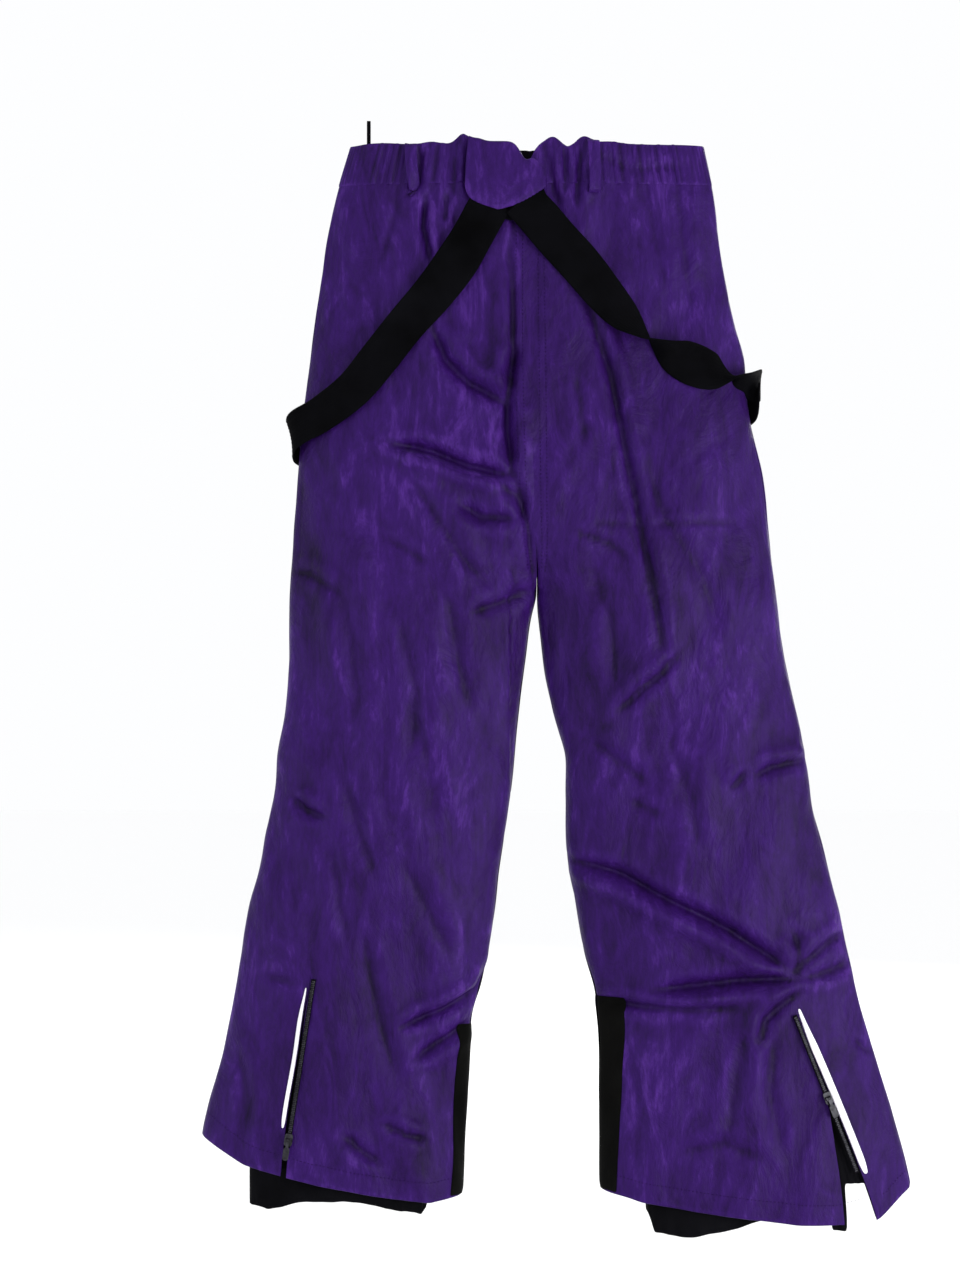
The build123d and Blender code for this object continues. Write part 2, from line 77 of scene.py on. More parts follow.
def add_light(name, place, target, size, power, tint=(1, 1, 1)):
    data = bpy.data.lights.new(name, "AREA")
    data.shape = "RECTANGLE"
    data.size, data.size_y = size
    data.energy = power
    data.color = tint
    light = bpy.data.objects.new(name, data)
    light.location = place
    aim(light, target)
    bpy.context.collection.objects.link(light)


def add_surroundings():
    """A wide pale floor under the hanging garment, in an even white studio."""
    corners = [(-1, -1), (1, -1), (1, 1), (-1, 1)]
    places = [(x * FLOOR_HALF, y * FLOOR_HALF, FLOOR_Z) for x, y in corners]
    mesh = bpy.data.meshes.new("studio_floor")
    mesh.from_pydata(places, [], [(0, 1, 2, 3)])
    floor = bpy.data.objects.new("studio_floor", mesh)
    bpy.context.collection.objects.link(floor)
    material = bpy.data.materials.new("studio_floor")
    material.use_nodes = True
    shader = material.node_tree.nodes["Principled BSDF"]
    shader.inputs["Base Color"].default_value = (0.99, 0.99, 0.99, 1)
    shader.inputs["Roughness"].default_value = 0.9
    mesh.materials.append(material)
    world = bpy.data.worlds.new("studio")
    world.use_nodes = True
    sky = world.node_tree.nodes["Background"]
    sky.inputs["Color"].default_value = (0.985, 0.99, 1.0, 1)
    sky.inputs["Strength"].default_value = 1.0
    bpy.context.scene.world = world
    bpy.context.scene.view_settings.view_transform = "Standard"


add_camera()
add_surroundings()
add_light("key", (1.7, -1.7, -0.85), (0, 0, -0.95), (0.8, 1.0), 44, (1.0, 0.99, 0.97))
add_light("fill", (-2.2, -1.4, -0.95), (0, 0, -0.9), (1.2, 1.2), 15, (0.94, 0.96, 1.0))
add_light("behind", (1.2, 2.6, 0.4), (0, 0, -0.6), (1.6, 1.6), 40, (1.0, 0.99, 0.97))


# ---------------------------------------------------------------- materials
def srgb(r, g, b):
    """A colour given as 0 to 255 display values, as linear light."""
    values = []
    for c in (r, g, b):
        c /= 255
        values.append(c / 12.92 if c <= 0.04045 else ((c + 0.055) / 1.055) ** 2.4)
    return (*values, 1.0)


class Nodes:
    """A short way to write a material's node tree."""

    def __init__(self, name):
        self.material = bpy.data.materials.new(name)
        self.material.use_nodes = True
        self.tree = self.material.node_tree
        self.shader = self.tree.nodes["Principled BSDF"]
        self.place = self.tree.nodes.new("ShaderNodeTexCoord").outputs["Object"]

    def link(self, start, end):
        self.tree.links.new(start, end)

    def stretched(self, scale):
        node = self.tree.nodes.new("ShaderNodeMapping")
        node.inputs["Scale"].default_value = scale
        self.link(self.place, node.inputs["Vector"])
        return node.outputs["Vector"]

    def noise(self, scale, stretch=(1, 1, 1), detail=3.0, roughness=0.55, distortion=0.0):
        node = self.tree.nodes.new("ShaderNodeTexNoise")
        node.inputs["Scale"].default_value = scale
        node.inputs["Detail"].default_value = detail
        node.inputs["Roughness"].default_value = roughness
        node.inputs["Distortion"].default_value = distortion
        self.link(self.stretched(stretch), node.inputs["Vector"])
        return node.outputs["Fac"]

    def waves(self, scale, direction, distortion=0.4):
        node = self.tree.nodes.new("ShaderNodeTexWave")
        node.bands_direction = direction
        node.inputs["Scale"].default_value = scale
        node.inputs["Distortion"].default_value = distortion
        self.link(self.stretched((1, 1, 1)), node.inputs["Vector"])
        return node.outputs["Fac"]

    def edges(self):
        """Over 0.5 on ridges and under it in creases."""
        return self.tree.nodes.new("ShaderNodeNewGeometry").outputs["Pointiness"]

    def math(self, operation, a, b):
        node = self.tree.nodes.new("ShaderNodeMath")
        node.operation = operation
        for socket, value in zip(node.inputs, (a, b)):
            if isinstance(value, (int, float)):
                socket.default_value = value
            else:
                self.link(value, socket)
        return node.outputs[0]

    def ramp(self, factor, stops):
        node = self.tree.nodes.new("ShaderNodeValToRGB")
        ramp = node.color_ramp
        while len(ramp.elements) < len(stops):
            ramp.elements.new(0.5)
        for element, (position, color) in zip(ramp.elements, stops):
            element.position = position
            element.color = color
        self.link(factor, node.inputs["Fac"])
        return node.outputs["Color"]

    def spread(self, factor, low, high):
        node = self.tree.nodes.new("ShaderNodeMapRange")
        node.inputs["To Min"].default_value = low
        node.inputs["To Max"].default_value = high
        self.link(factor, node.inputs["Value"])
        return node.outputs["Result"]

    def bump(self, height, strength, distance, before=None):
        node = self.tree.nodes.new("ShaderNodeBump")
        node.inputs["Strength"].default_value = strength
        node.inputs["Distance"].default_value = distance
        self.link(height, node.inputs["Height"])
        if before is not None:
            self.link(before, node.inputs["Normal"])
        return node.outputs["Normal"]

    def finish(self, color, roughness, normal=None, **plain):
        self.link(color, self.shader.inputs["Base Color"])
        self.link(roughness, self.shader.inputs["Roughness"])
        if normal is not None:
            self.link(normal, self.shader.inputs["Normal"])
        for name, value in plain.items():
            self.shader.inputs[name.replace("_", " ")].default_value = value
        return self.material


def shell_material():
    """Tightly woven purple nylon with a soft satin sheen, creased all over, with painted shade in
    the creases, a little painted light on ridges and painted sheen streaks in its colour.
    """
    n = Nodes("purple_nylon")
    # Painted sheen: long lighter streaks in the colour stand in for the satin's highlights.
    sheen_streaks = n.noise(22, (1.9, 1, 0.55), detail=7, roughness=0.68, distortion=1.1)
    threads = n.noise(260, (1, 1, 0.25), detail=3, roughness=0.7)
    blotches = n.noise(5, detail=3)
    tone = n.math("ADD", n.math("MULTIPLY", sheen_streaks, 0.5), n.math("MULTIPLY", blotches, 0.32))
    tone = n.math("ADD", tone, n.math("MULTIPLY", threads, 0.18))
    # Painted shade and light: by the mesh's pointiness the colour darkens in the creases and
    # lightens a little on the ridges.
    crease_shade = n.math("MULTIPLY", n.math("SUBTRACT", n.edges(), 0.5), 4.0)
    tone = n.math("ADD", tone, n.math("MAXIMUM", n.math("MINIMUM", crease_shade, 0.035), -0.11))
    # The ramp's dark end carries the painted crease shade, its light end the painted sheen streaks.
    color = n.ramp(tone, [
        (0.30, srgb(15, 1, 36)),
        (0.45, srgb(34, 7, 68)),
        (0.55, srgb(43, 13, 84)),
        (0.68, srgb(72, 36, 122)),
    ])
    rub = n.spread(n.noise(34, (1, 1, 0.6), detail=5), 0.38, 0.62)
    weave = n.math("ADD", n.waves(900, "X", distortion=0.6), n.waves(900, "Z", distortion=0.6))
    crumple = n.noise(17, (1.3, 1.0, 0.7), detail=6, roughness=0.66, distortion=1.2)
    crinkle = n.noise(60, (1.0, 1.0, 0.7), detail=5, roughness=0.65, distortion=0.9)
    normal = n.bump(crumple, 0.42, 0.012)
    normal = n.bump(crinkle, 0.40, 0.003, before=normal)
    normal = n.bump(weave, 0.10, 0.0002, before=normal)
    return n.finish(
        color, rub, normal, Sheen_Weight=0.03, Sheen_Roughness=0.4, Sheen_Tint=(0.7, 0.55, 1, 1),
        Specular_IOR_Level=0.09)


def cloth_material(name, dark, light, rough=(0.6, 0.8), weave=700, ribs=None, bump=0.35):
    """Plain woven cloth or ribbed webbing in two close tones."""
    n = Nodes(name)
    color = n.ramp(n.noise(22, detail=5), [(0.3, dark), (0.7, light)])
    roughness = n.spread(n.noise(60, detail=3), *rough)
    threads = n.math("ADD", n.waves(weave, "X"), n.waves(weave, "Z"))
    normal = n.bump(threads, bump, 0.0004)
    if ribs is not None:
        normal = n.bump(n.waves(ribs, "DIAGONAL", distortion=0.1), 0.5, 0.0006, before=normal)
    return n.finish(color, roughness, normal, Specular_IOR_Level=0.03)


def hard_material(name, dark, light, rough=(0.3, 0.5), metallic=0.0, grain=180):
    n = Nodes(name)
    color = n.ramp(n.noise(grain, detail=4), [(0.35, dark), (0.65, light)])
    roughness = n.spread(n.noise(grain * 0.4, detail=4), *rough)
    normal = n.bump(n.noise(grain * 3, detail=2), 0.12, 0.0003)
    return n.finish(color, roughness, normal, Metallic=metallic)


MATERIALS = {
    "shell_fabric": shell_material(),
    "lining_fabric": cloth_material("lining", srgb(9, 7, 14), srgb(20, 16, 28)),
    "inner_nylon": cloth_material(
        "inner_nylon", srgb(3, 3, 5), srgb(11, 11, 15), rough=(0.5, 0.7)),
    "scuff_fabric": cloth_material(
        "scuff_fabric", srgb(4, 4, 4), srgb(12, 12, 11), weave=420, bump=0.6),
    "webbing": cloth_material(
        "webbing", srgb(2, 2, 3), srgb(9, 9, 13), rough=(0.65, 0.85), weave=330, bump=0.7),
    "reflective_piping": cloth_material(
        "reflective_piping", srgb(224, 221, 232), srgb(250, 248, 252), rough=(0.3, 0.45),
        weave=900, bump=0.1),
    "thread": cloth_material("thread", srgb(24, 6, 48), srgb(36, 12, 66), weave=2000),
    "zip_tape": cloth_material("zip_tape", srgb(5, 4, 8), srgb(14, 12, 18)),
    "dark_metal": hard_material(
        "dark_metal", srgb(36, 36, 39), srgb(60, 60, 65), metallic=0.9, rough=(0.3, 0.5)),
    "black_plastic": hard_material("black_plastic", srgb(6, 6, 8), srgb(15, 15, 18)),
}


# ---------------------------------------------------------------- the garment's outline
def along(stations, z):
    """The value at height z of a smooth line through (z, value) stations, top first."""
    heights = np.array([s[0] for s in stations], float)
    values = np.array([s[1] for s in stations], float)
    slopes = np.gradient(values, heights)
    z = np.clip(z, heights[-1], heights[0])
    i = np.clip(np.searchsorted(-heights, -z, side="right") - 1, 0, len(heights) - 2)
    span = heights[i + 1] - heights[i]
    t = (z - heights[i]) / span
    a = (1 + 2 * t) * (1 - t) ** 2 * values[i] + t * (1 - t) ** 2 * span * slopes[i]
    return a + t * t * (3 - 2 * t) * values[i + 1] + t * t * (t - 1) * span * slopes[i + 1]


# Millimetres, from the waistband's top down. Outer is the side edge and inner the inseam.
OUTER = {
    "left": [
        (0, -179), (-40, -191), (-95, -203), (-150, -211), (-210, -219), (-270, -227),
        (-330, -232), (-395, -237), (-450, -240), (-520, -241), (-575, -246), (-605, -252),
        (-640, -255), (-690, -265), (-720, -270), (-760, -281), (-815, -290), (-845, -295),
        (-905, -307), (-960, -322), (-1000, -330), (-1090, -346),
    ],
    "right": [
        (0, 173), (-40, 181), (-95, 189), (-150, 198), (-180, 205), (-212, 214), (-245, 216),
        (-275, 220), (-330, 232), (-395, 239), (-450, 246), (-510, 254), (-570, 267),
        (-630, 278), (-660, 282), (-700, 292), (-760, 308), (-840, 326), (-875, 335),
        (-930, 352), (-990, 369), (-1040, 381), (-1090, 390),
    ],
}
INNER = {
    "left": [
        (0, 0), (-250, 1), (-310, 2), (-390, 5), (-430, 7), (-450, 6), (-470, 1), (-510, -4),
        (-560, -11), (-630, -18), (-690, -26), (-720, -31), (-780, -38), (-835, -48),
        (-865, -58), (-900, -61), (-960, -64), (-1045, -69), (-1090, -72),
    ],
    "right": [
        (0, 0), (-250, 1), (-310, 2), (-390, 5), (-430, 7), (-450, 7), (-490, 10), (-530, 15),
        (-575, 26), (-605, 35), (-650, 36), (-700, 37), (-755, 46), (-810, 56), (-840, 65),
        (-875, 69), (-940, 70), (-1040, 71), (-1090, 72),
    ],
}
DEPTH = [
    (0, 24), (-60, 27.5), (-170, 34), (-250, 38.6), (-310, 42), (-390, 45), (-450, 46),
    (-500, 44), (-560, 42), (-690, 40), (-800, 38), (-900, 38), (-1090, 40),
]
SWEEP = [
    (0, 90), (-60, 90), (-170, 95), (-250, 100), (-310, 108), (-390, 130), (-430, 155),
    (-450, 180),
]
CROTCH = -450
# Where each leg's cloth ends, as (x, z). The right front is pulled up behind the open vent.
HEMS = {
    "left": [(-332, -984), (-285, -1012), (-212, -1031), (-133, -1046), (-100, -1050),
             (-68, -1045)],
    "right": [(71, -1040), (112, -1050), (163, -1058), (264, -1070), (335, -1071),
              (346, -1066), (384, -1036)],
}
OPEN_FRONT_HEM = [(71, -1040), (112, -1050), (163, -1058), (258, -1064), (292, -1046),
                  (312, -1031), (384, -1036)]
VENTS = {
    "left": dict(top=-822, foot=-1060, share_top=0.371, share_foot=0.389, gap=0.012),
    "right": dict(top=-858, foot=-1090, share_top=0.345, share_foot=0.2264, gap=0.095),
}
CLOSED_GAP = 0.006  # share between a vent's edges where its zip is closed
OPENS_AT = 0.36  # part of the way down a vent at which its edges begin to part


def sweep_at(z):
    heights = [-s[0] for s in SWEEP]
    return np.radians(np.interp(-z, heights, [s[1] for s in SWEEP]))


def skin(side, face, share, z):
    """The smooth garment's surface in millimetres, from side edge (0) to inner seam (1)."""
    outer, inner = along(OUTER[side], z), along(INNER[side], z)
    depth, sweep = along(DEPTH, z), sweep_at(z)
    half = (inner - outer) / (1 - np.cos(sweep))
    angle = sweep * share
    return outer + half * (1 - np.cos(angle)), face * depth * np.sin(angle)


def hem_at(side, x, face):
    """The height at which the cloth ends, at each x."""
    line = OPEN_FRONT_HEM if side == "right" and face == FRONT else HEMS[side]
    return np.interp(x, [p[0] for p in line], [p[1] for p in line])


def vent_shares(side, z):
    """Shares of the vent's outer and inner edges at height z, equal above its top."""
    vent = VENTS[side]
    t = np.clip((vent["top"] - z) / (vent["top"] - vent["foot"]), 0, 1.2)
    share = vent["share_top"] + (vent["share_foot"] - vent["share_top"]) * t
    opened = np.clip((t - OPENS_AT) / (1 - OPENS_AT), 0, 1) ** 0.9
    return share, share + CLOSED_GAP * np.clip(t * 4, 0, 1) + vent["gap"] * opened


# ---------------------------------------------------------------- folds
def stroke(x, z, points, depth, width, lean=0.0):
    """A fold along a line: a groove, with its bank raised on the side that lean names."""
    best = np.full(x.shape, 1e9)
    offset = np.zeros(x.shape)
    place = np.zeros(x.shape)
    total = sum(np.hypot(b[0] - a[0], b[1] - a[1]) for a, b in zip(points, points[1:]))
    run = 0.0
    for a, b in zip(points, points[1:]):
        dx, dz = b[0] - a[0], b[1] - a[1]
        length = np.hypot(dx, dz)
        t = np.clip(((x - a[0]) * dx + (z - a[1]) * dz) / length ** 2, 0, 1)
        px, pz = x - a[0] - t * dx, z - a[1] - t * dz
        distance = np.hypot(px, pz)
        nearer = distance < best
        best = np.where(nearer, distance, best)
        sign = np.sign(dx * pz - dz * px)
        offset = np.where(nearer, distance * sign, offset)
        place = np.where(nearer, (run + t * length) / total, place)
        run += length
    taper = np.clip(np.minimum(place, 1 - place) * 5 + 0.25, 0, 1)
    reach = width * (0.65 + 0.35 * taper)
    groove = -0.7 * np.exp(-(best / reach) ** 2) - 0.5 * np.exp(-(best / (0.42 * reach)) ** 2)
    bank = lean * np.exp(-((np.abs(offset) - 1.5 * reach) / (1.1 * reach)) ** 2)
    bank = np.where(offset * lean > 0, np.abs(bank), np.abs(bank) * 0.25)
    return depth * taper * (groove + bank)


# Each fold is (points as x and z, depth, width, lean), as stroke takes them.
BACK_FOLDS = [
    # the seat's seam and the folds that meet on it
    ([(-17, -72), (-21, -110), (-18, -150), (-19, -205), (-21, -253), (-19, -323), (-8, -353),
      (-1, -393), (6, -446)], 4.2, 5, 0.35),
    ([(-97, -184), (-84, -215), (-62, -238), (-36, -251), (-23, -262)], 9.0, 9, 0.9),
    ([(-13, -203), (-21, -228), (-23, -257)], 7.0, 8, -0.8),
    ([(-24, -257), (-23, -290), (-17, -318)], 8.0, 9, 0.5),
    ([(-136, -300), (-112, -303), (-94, -308), (-60, -322), (-22, -330)], 11.0, 8, -0.9),
    ([(-70, -360), (-48, -372), (-16, -373)], 6.0, 8, -0.7),
    ([(-40, -330), (-14, -352), (-2, -376)], 5.0, 9, -0.5),
    ([(-120, -330), (-92, -372), (-66, -412), (-40, -440)], 4.0, 10, 0.8),
    ([(-58, -466), (-28, -456), (2, -444)], 4.0, 8, 0.7),
    ([(-238, -424), (-220, -428), (-190, -446)], 3.6, 7, 0.7),
    ([(-142, -392), (-126, -402), (-104, -416)], 2.4, 6, 0.7),
    # the right seat and thigh
    ([(58, -160), (67, -190), (80, -230), (92, -293), (104, -353), (115, -413), (126, -470),
      (133, -515)], 7.0, 7, 0.8),
    ([(44, -234), (50, -260), (53, -300)], 3.0, 6, -0.6),
    ([(146, -506), (134, -522), (112, -540), (88, -562)], 5.6, 7, -0.7),
    ([(66, -378), (120, -380), (205, -376)], 1.6, 5, 0.5),
    ([(44, -386), (78, -398), (96, -412)], 2.4, 6, 0.5),
    ([(112, -320), (136, -376), (170, -430), (196, -500)], 3.0, 12, 0.7),
    ([(60, -420), (78, -470), (86, -540)], 3.4, 11, -0.7),
    ([(62, -595), (95, -619), (112, -633)], 3.4, 9, 0.7),
    ([(98, -652), (128, -666)], 3.0, 8, 0.7),
    ([(276, -612), (239, -619), (224, -628)], 5.6, 7, -0.8),
    ([(213, -624), (198, -640)], 4.0, 6, -0.7),
    ([(140, -596), (156, -640), (168, -700)], 3.4, 10, 0.8),
    # below the right knee
    ([(42, -712), (72, -721), (90, -727), (121, -744), (148, -757), (172, -768), (197, -781),
      (226, -800), (256, -820)], 11.0, 9, -0.9),
    ([(266, -831), (236, -828), (206, -830), (161, -836), (120, -842)], 9.0, 9, 0.9),
    ([(66, -852), (112, -856), (150, -857), (200, -856)], 6.5, 7, 0.8),
    ([(266, -840), (250, -851), (232, -868), (224, -896)], 8.0, 7, -0.8),
    ([(262, -780), (266, -800), (262, -826)], 5.0, 8, -0.8),
    ([(318, -784), (296, -794), (272, -812), (264, -826)], 5.0, 7, -0.8),
    ([(330, -812), (300, -822), (270, -828)], 4.0, 7, 0.7),
    ([(214, -880), (204, -930), (196, -985)], 4.0, 9, 0.8),
    ([(240, -880), (236, -940), (248, -1000)], 4.0, 9, -0.8),
    ([(150, -1000), (190, -990), (226, -1004)], 3.0, 9, 0.7),
    ([(100, -900), (110, -960), (104, -1020)], 2.4, 10, 0.6),
    ([(326, -890), (334, -900), (344, -904)], 3.0, 6, 0.7),
    # the left leg
    ([(-236, -650), (-222, -662), (-204, -668)], 5.6, 7, 0.8),
    ([(-180, -640), (-166, -690), (-150, -730)], 3.6, 10, 0.8),
    ([(-200, -690), (-190, -740), (-182, -790)], 3.0, 10, -0.7),
    ([(-42, -818), (-52, -842), (-86, -860), (-128, -876)], 7.5, 7, -0.8),
    ([(-58, -872), (-78, -886), (-100, -900), (-112, -908)], 5.6, 7, 0.8),
    ([(-124, -716), (-100, -760), (-82, -800)], 3.4, 10, 0.8),
    ([(-164, -790), (-150, -860), (-132, -930)], 4.0, 10, 0.8),
    ([(-144, -972), (-124, -982), (-104, -988)], 4.6, 6, 0.7),
    ([(-184, -982), (-170, -996), (-150, -1010)], 5.0, 7, -0.8),
    ([(-120, -560), (-100, -610), (-92, -670)], 2.4, 12, 0.6),
    ([(-190, -440), (-176, -500), (-170, -570)], 4.0, 12, -0.7),
    ([(-130, -470), (-112, -540), (-116, -600)], 3.4, 11, 0.8),
    ([(-80, -450), (-72, -510), (-60, -560)], 3.4, 10, -0.7),
    ([(-262, -826), (-236, -832), (-214, -848)], 3.4, 8, 0.7),
    ([(-290, -900), (-280, -950), (-286, -990)], 2.6, 8, 0.7),
    # gathers under the waistband
    ([(-108, -4), (-112, -40), (-122, -52)], 6.5, 5, 0.7),
    ([(-104, -56), (-106, -84), (-98, -118)], 7.0, 5, 0.8),
    ([(-83, -50), (-84, -78)], 5.0, 4, 0.6),
    ([(-62, -4), (-60, -50)], 7.0, 5, -0.6),
    ([(-76, -10), (-78, -56), (-74, -86)], 3.6, 6, -0.6),
    ([(-128, -10), (-134, -70), (-150, -120)], 2.4, 7, 0.5),
    ([(16, -2), (20, -30), (28, -60)], 5.5, 5, 0.7),
    ([(33, -2), (34, -54)], 5.0, 5, -0.6),
    ([(54, -4), (48, -30), (46, -62)], 5.5, 5, 0.6),
    ([(70, -14), (100, -26), (150, -22)], 3.0, 7, 0.6),
    ([(112, -16), (122, -90), (136, -150)], 2.2, 9, -0.5),
    ([(146, -20), (150, -90), (162, -170)], 2.2, 9, 0.5),
]
FRONT_FOLDS = [
    ([(-30, -210), (-60, -290), (-110, -360), (-150, -400)], 5.0, 10, 0.7),
    ([(30, -210), (66, -290), (112, -350), (150, -380)], 5.0, 10, -0.7),
    ([(-180, -330), (-130, -350), (-60, -356)], 3.4, 9, 0.7),
    ([(180, -320), (130, -340), (60, -350)], 3.4, 9, -0.7),
    ([(-12, -400), (-60, -430), (-110, -440)], 4.4, 9, 0.7),
    ([(14, -400), (66, -430), (120, -440)], 4.4, 9, -0.7),
    ([(-230, -650), (-170, -676), (-110, -690), (-50, -688)], 5.0, 10, 0.8),
    ([(-70, -740), (-130, -752), (-200, -744)], 4.0, 9, -0.7),
    ([(260, -640), (200, -668), (130, -676), (70, -670)], 5.0, 10, -0.8),
    ([(80, -726), (140, -744), (220, -742)], 4.0, 9, 0.7),
    ([(-120, -500), (-140, -560), (-134, -610)], 3.0, 12, 0.6),
    ([(130, -490), (150, -550), (152, -600)], 3.0, 12, -0.6),
    ([(-250, -860), (-190, -890), (-110, -896)], 4.0, 10, 0.7),
    ([(300, -850), (220, -884), (130, -886)], 4.0, 10, -0.7),
    ([(-180, -940), (-170, -1010)], 3.0, 10, 0.6),
    ([(190, -950), (204, -1040)], 3.0, 10, -0.6),
]
# (x, z, half width, half height): flat places on the front, where the hardware lies on the cloth.
FLAT_PLACES = [
    (0, -110, 16, 110), (95, -100, 34, 90), (-95, -100, 34, 90), (150, -126, 34, 92),
    (-150, -126, 34, 92),
]
# Layers of unevenness, as (height, seed, size across, size down).
SWELLS, FOLDS, CRINKLES = (5.5, 1.3, 60, 190), (2.6, 8.7, 26, 80), (1.1, 4.4, 13, 34)


def marbled(x, z, face, seed, size_x, size_z):
    """Smooth seeded noise over the cloth, longer up and down than across."""
    values = np.empty(x.shape)
    flat_x, flat_z, out = x.ravel(), z.ravel(), values.ravel()
    for i in range(flat_x.size):
        spot = (flat_x[i] / size_x + seed, flat_z[i] / size_z, face * 3.7 + seed * 2)
        out[i] = noise.noise(spot)
    return out.reshape(x.shape)


def relief(side, face, x, z, share):
    """How far the cloth stands out from its smooth shape, in millimetres."""
    out = np.zeros(x.shape)
    for fold in (BACK_FOLDS if face == BACK else FRONT_FOLDS):
        out += stroke(x, z, *fold)
    warp = 18 * marbled(x, z, face, 5.1, 90, 130)
    slant = x + 0.28 * z * np.sign(-x - 20)  # outwards down the leg
    for (height, *layer), across, down in (
        (SWELLS, slant + warp, z), (FOLDS, slant + warp, z + warp), (CRINKLES, slant - warp, z),
    ):
        out += height * marbled(across, down, face, *layer)
    if face == FRONT:
        for middle_x, middle_z, half_x, half_z in FLAT_PLACES:
            far = np.maximum(np.abs(x - middle_x) / half_x, np.abs(z - middle_z) / half_z)
            out *= np.clip((far - 1) * 2.5, 0, 1)
    # the cloth lies flatter at its seams, under the waistband and along the vent
    edge = np.clip(share * 9, 0.25, 1) * np.where(z < CROTCH, np.clip((1 - share) * 9, 0.3, 1), 1)
    near_top = np.clip(-z / 50, 0.7 if face == BACK else 0.35, 1)
    if face == BACK:
        vent_share, _ = vent_shares(side, z)
        near_vent = np.exp(-((share - vent_share + 0.02) / 0.05) ** 2)
        below = np.clip((VENTS[side]["top"] + 20 - z) / 30, 0, 1)
        out *= 1 - 0.9 * near_vent * below
    return out * edge * near_top


# Bumps and dips of the back waistband's top edge, as (x, height, width).
TOP_BUMPS = [
    (-98, 2, 9), (-67, 10, 8), (-52, 3, 6), (-4, -20, 8), (22, 7, 9), (38, -4, 7), (53, 7, 9),
    (80, 2, 14), (-150, 1.5, 20),
]


def ruffle(x):
    """How far the elastic at the back bunches the waistband's top edge up, in millimetres."""
    rise = np.zeros(np.shape(x))
    for middle, height, width in TOP_BUMPS:
        rise += height * np.exp(-((x - middle) / width) ** 2)
    return rise


# ---------------------------------------------------------------- each half as a grid
ROWS_ABOVE, ROWS_BELOW = 112, 150
MAIN_COLUMNS, FLAP_COLUMNS, FRONT_COLUMNS = 56, 26, 56
ROWS = ROWS_ABOVE + ROWS_BELOW + 1
CUT = MAIN_COLUMNS + 1  # the first column past the vent
FRONT_START = CUT + FLAP_COLUMNS


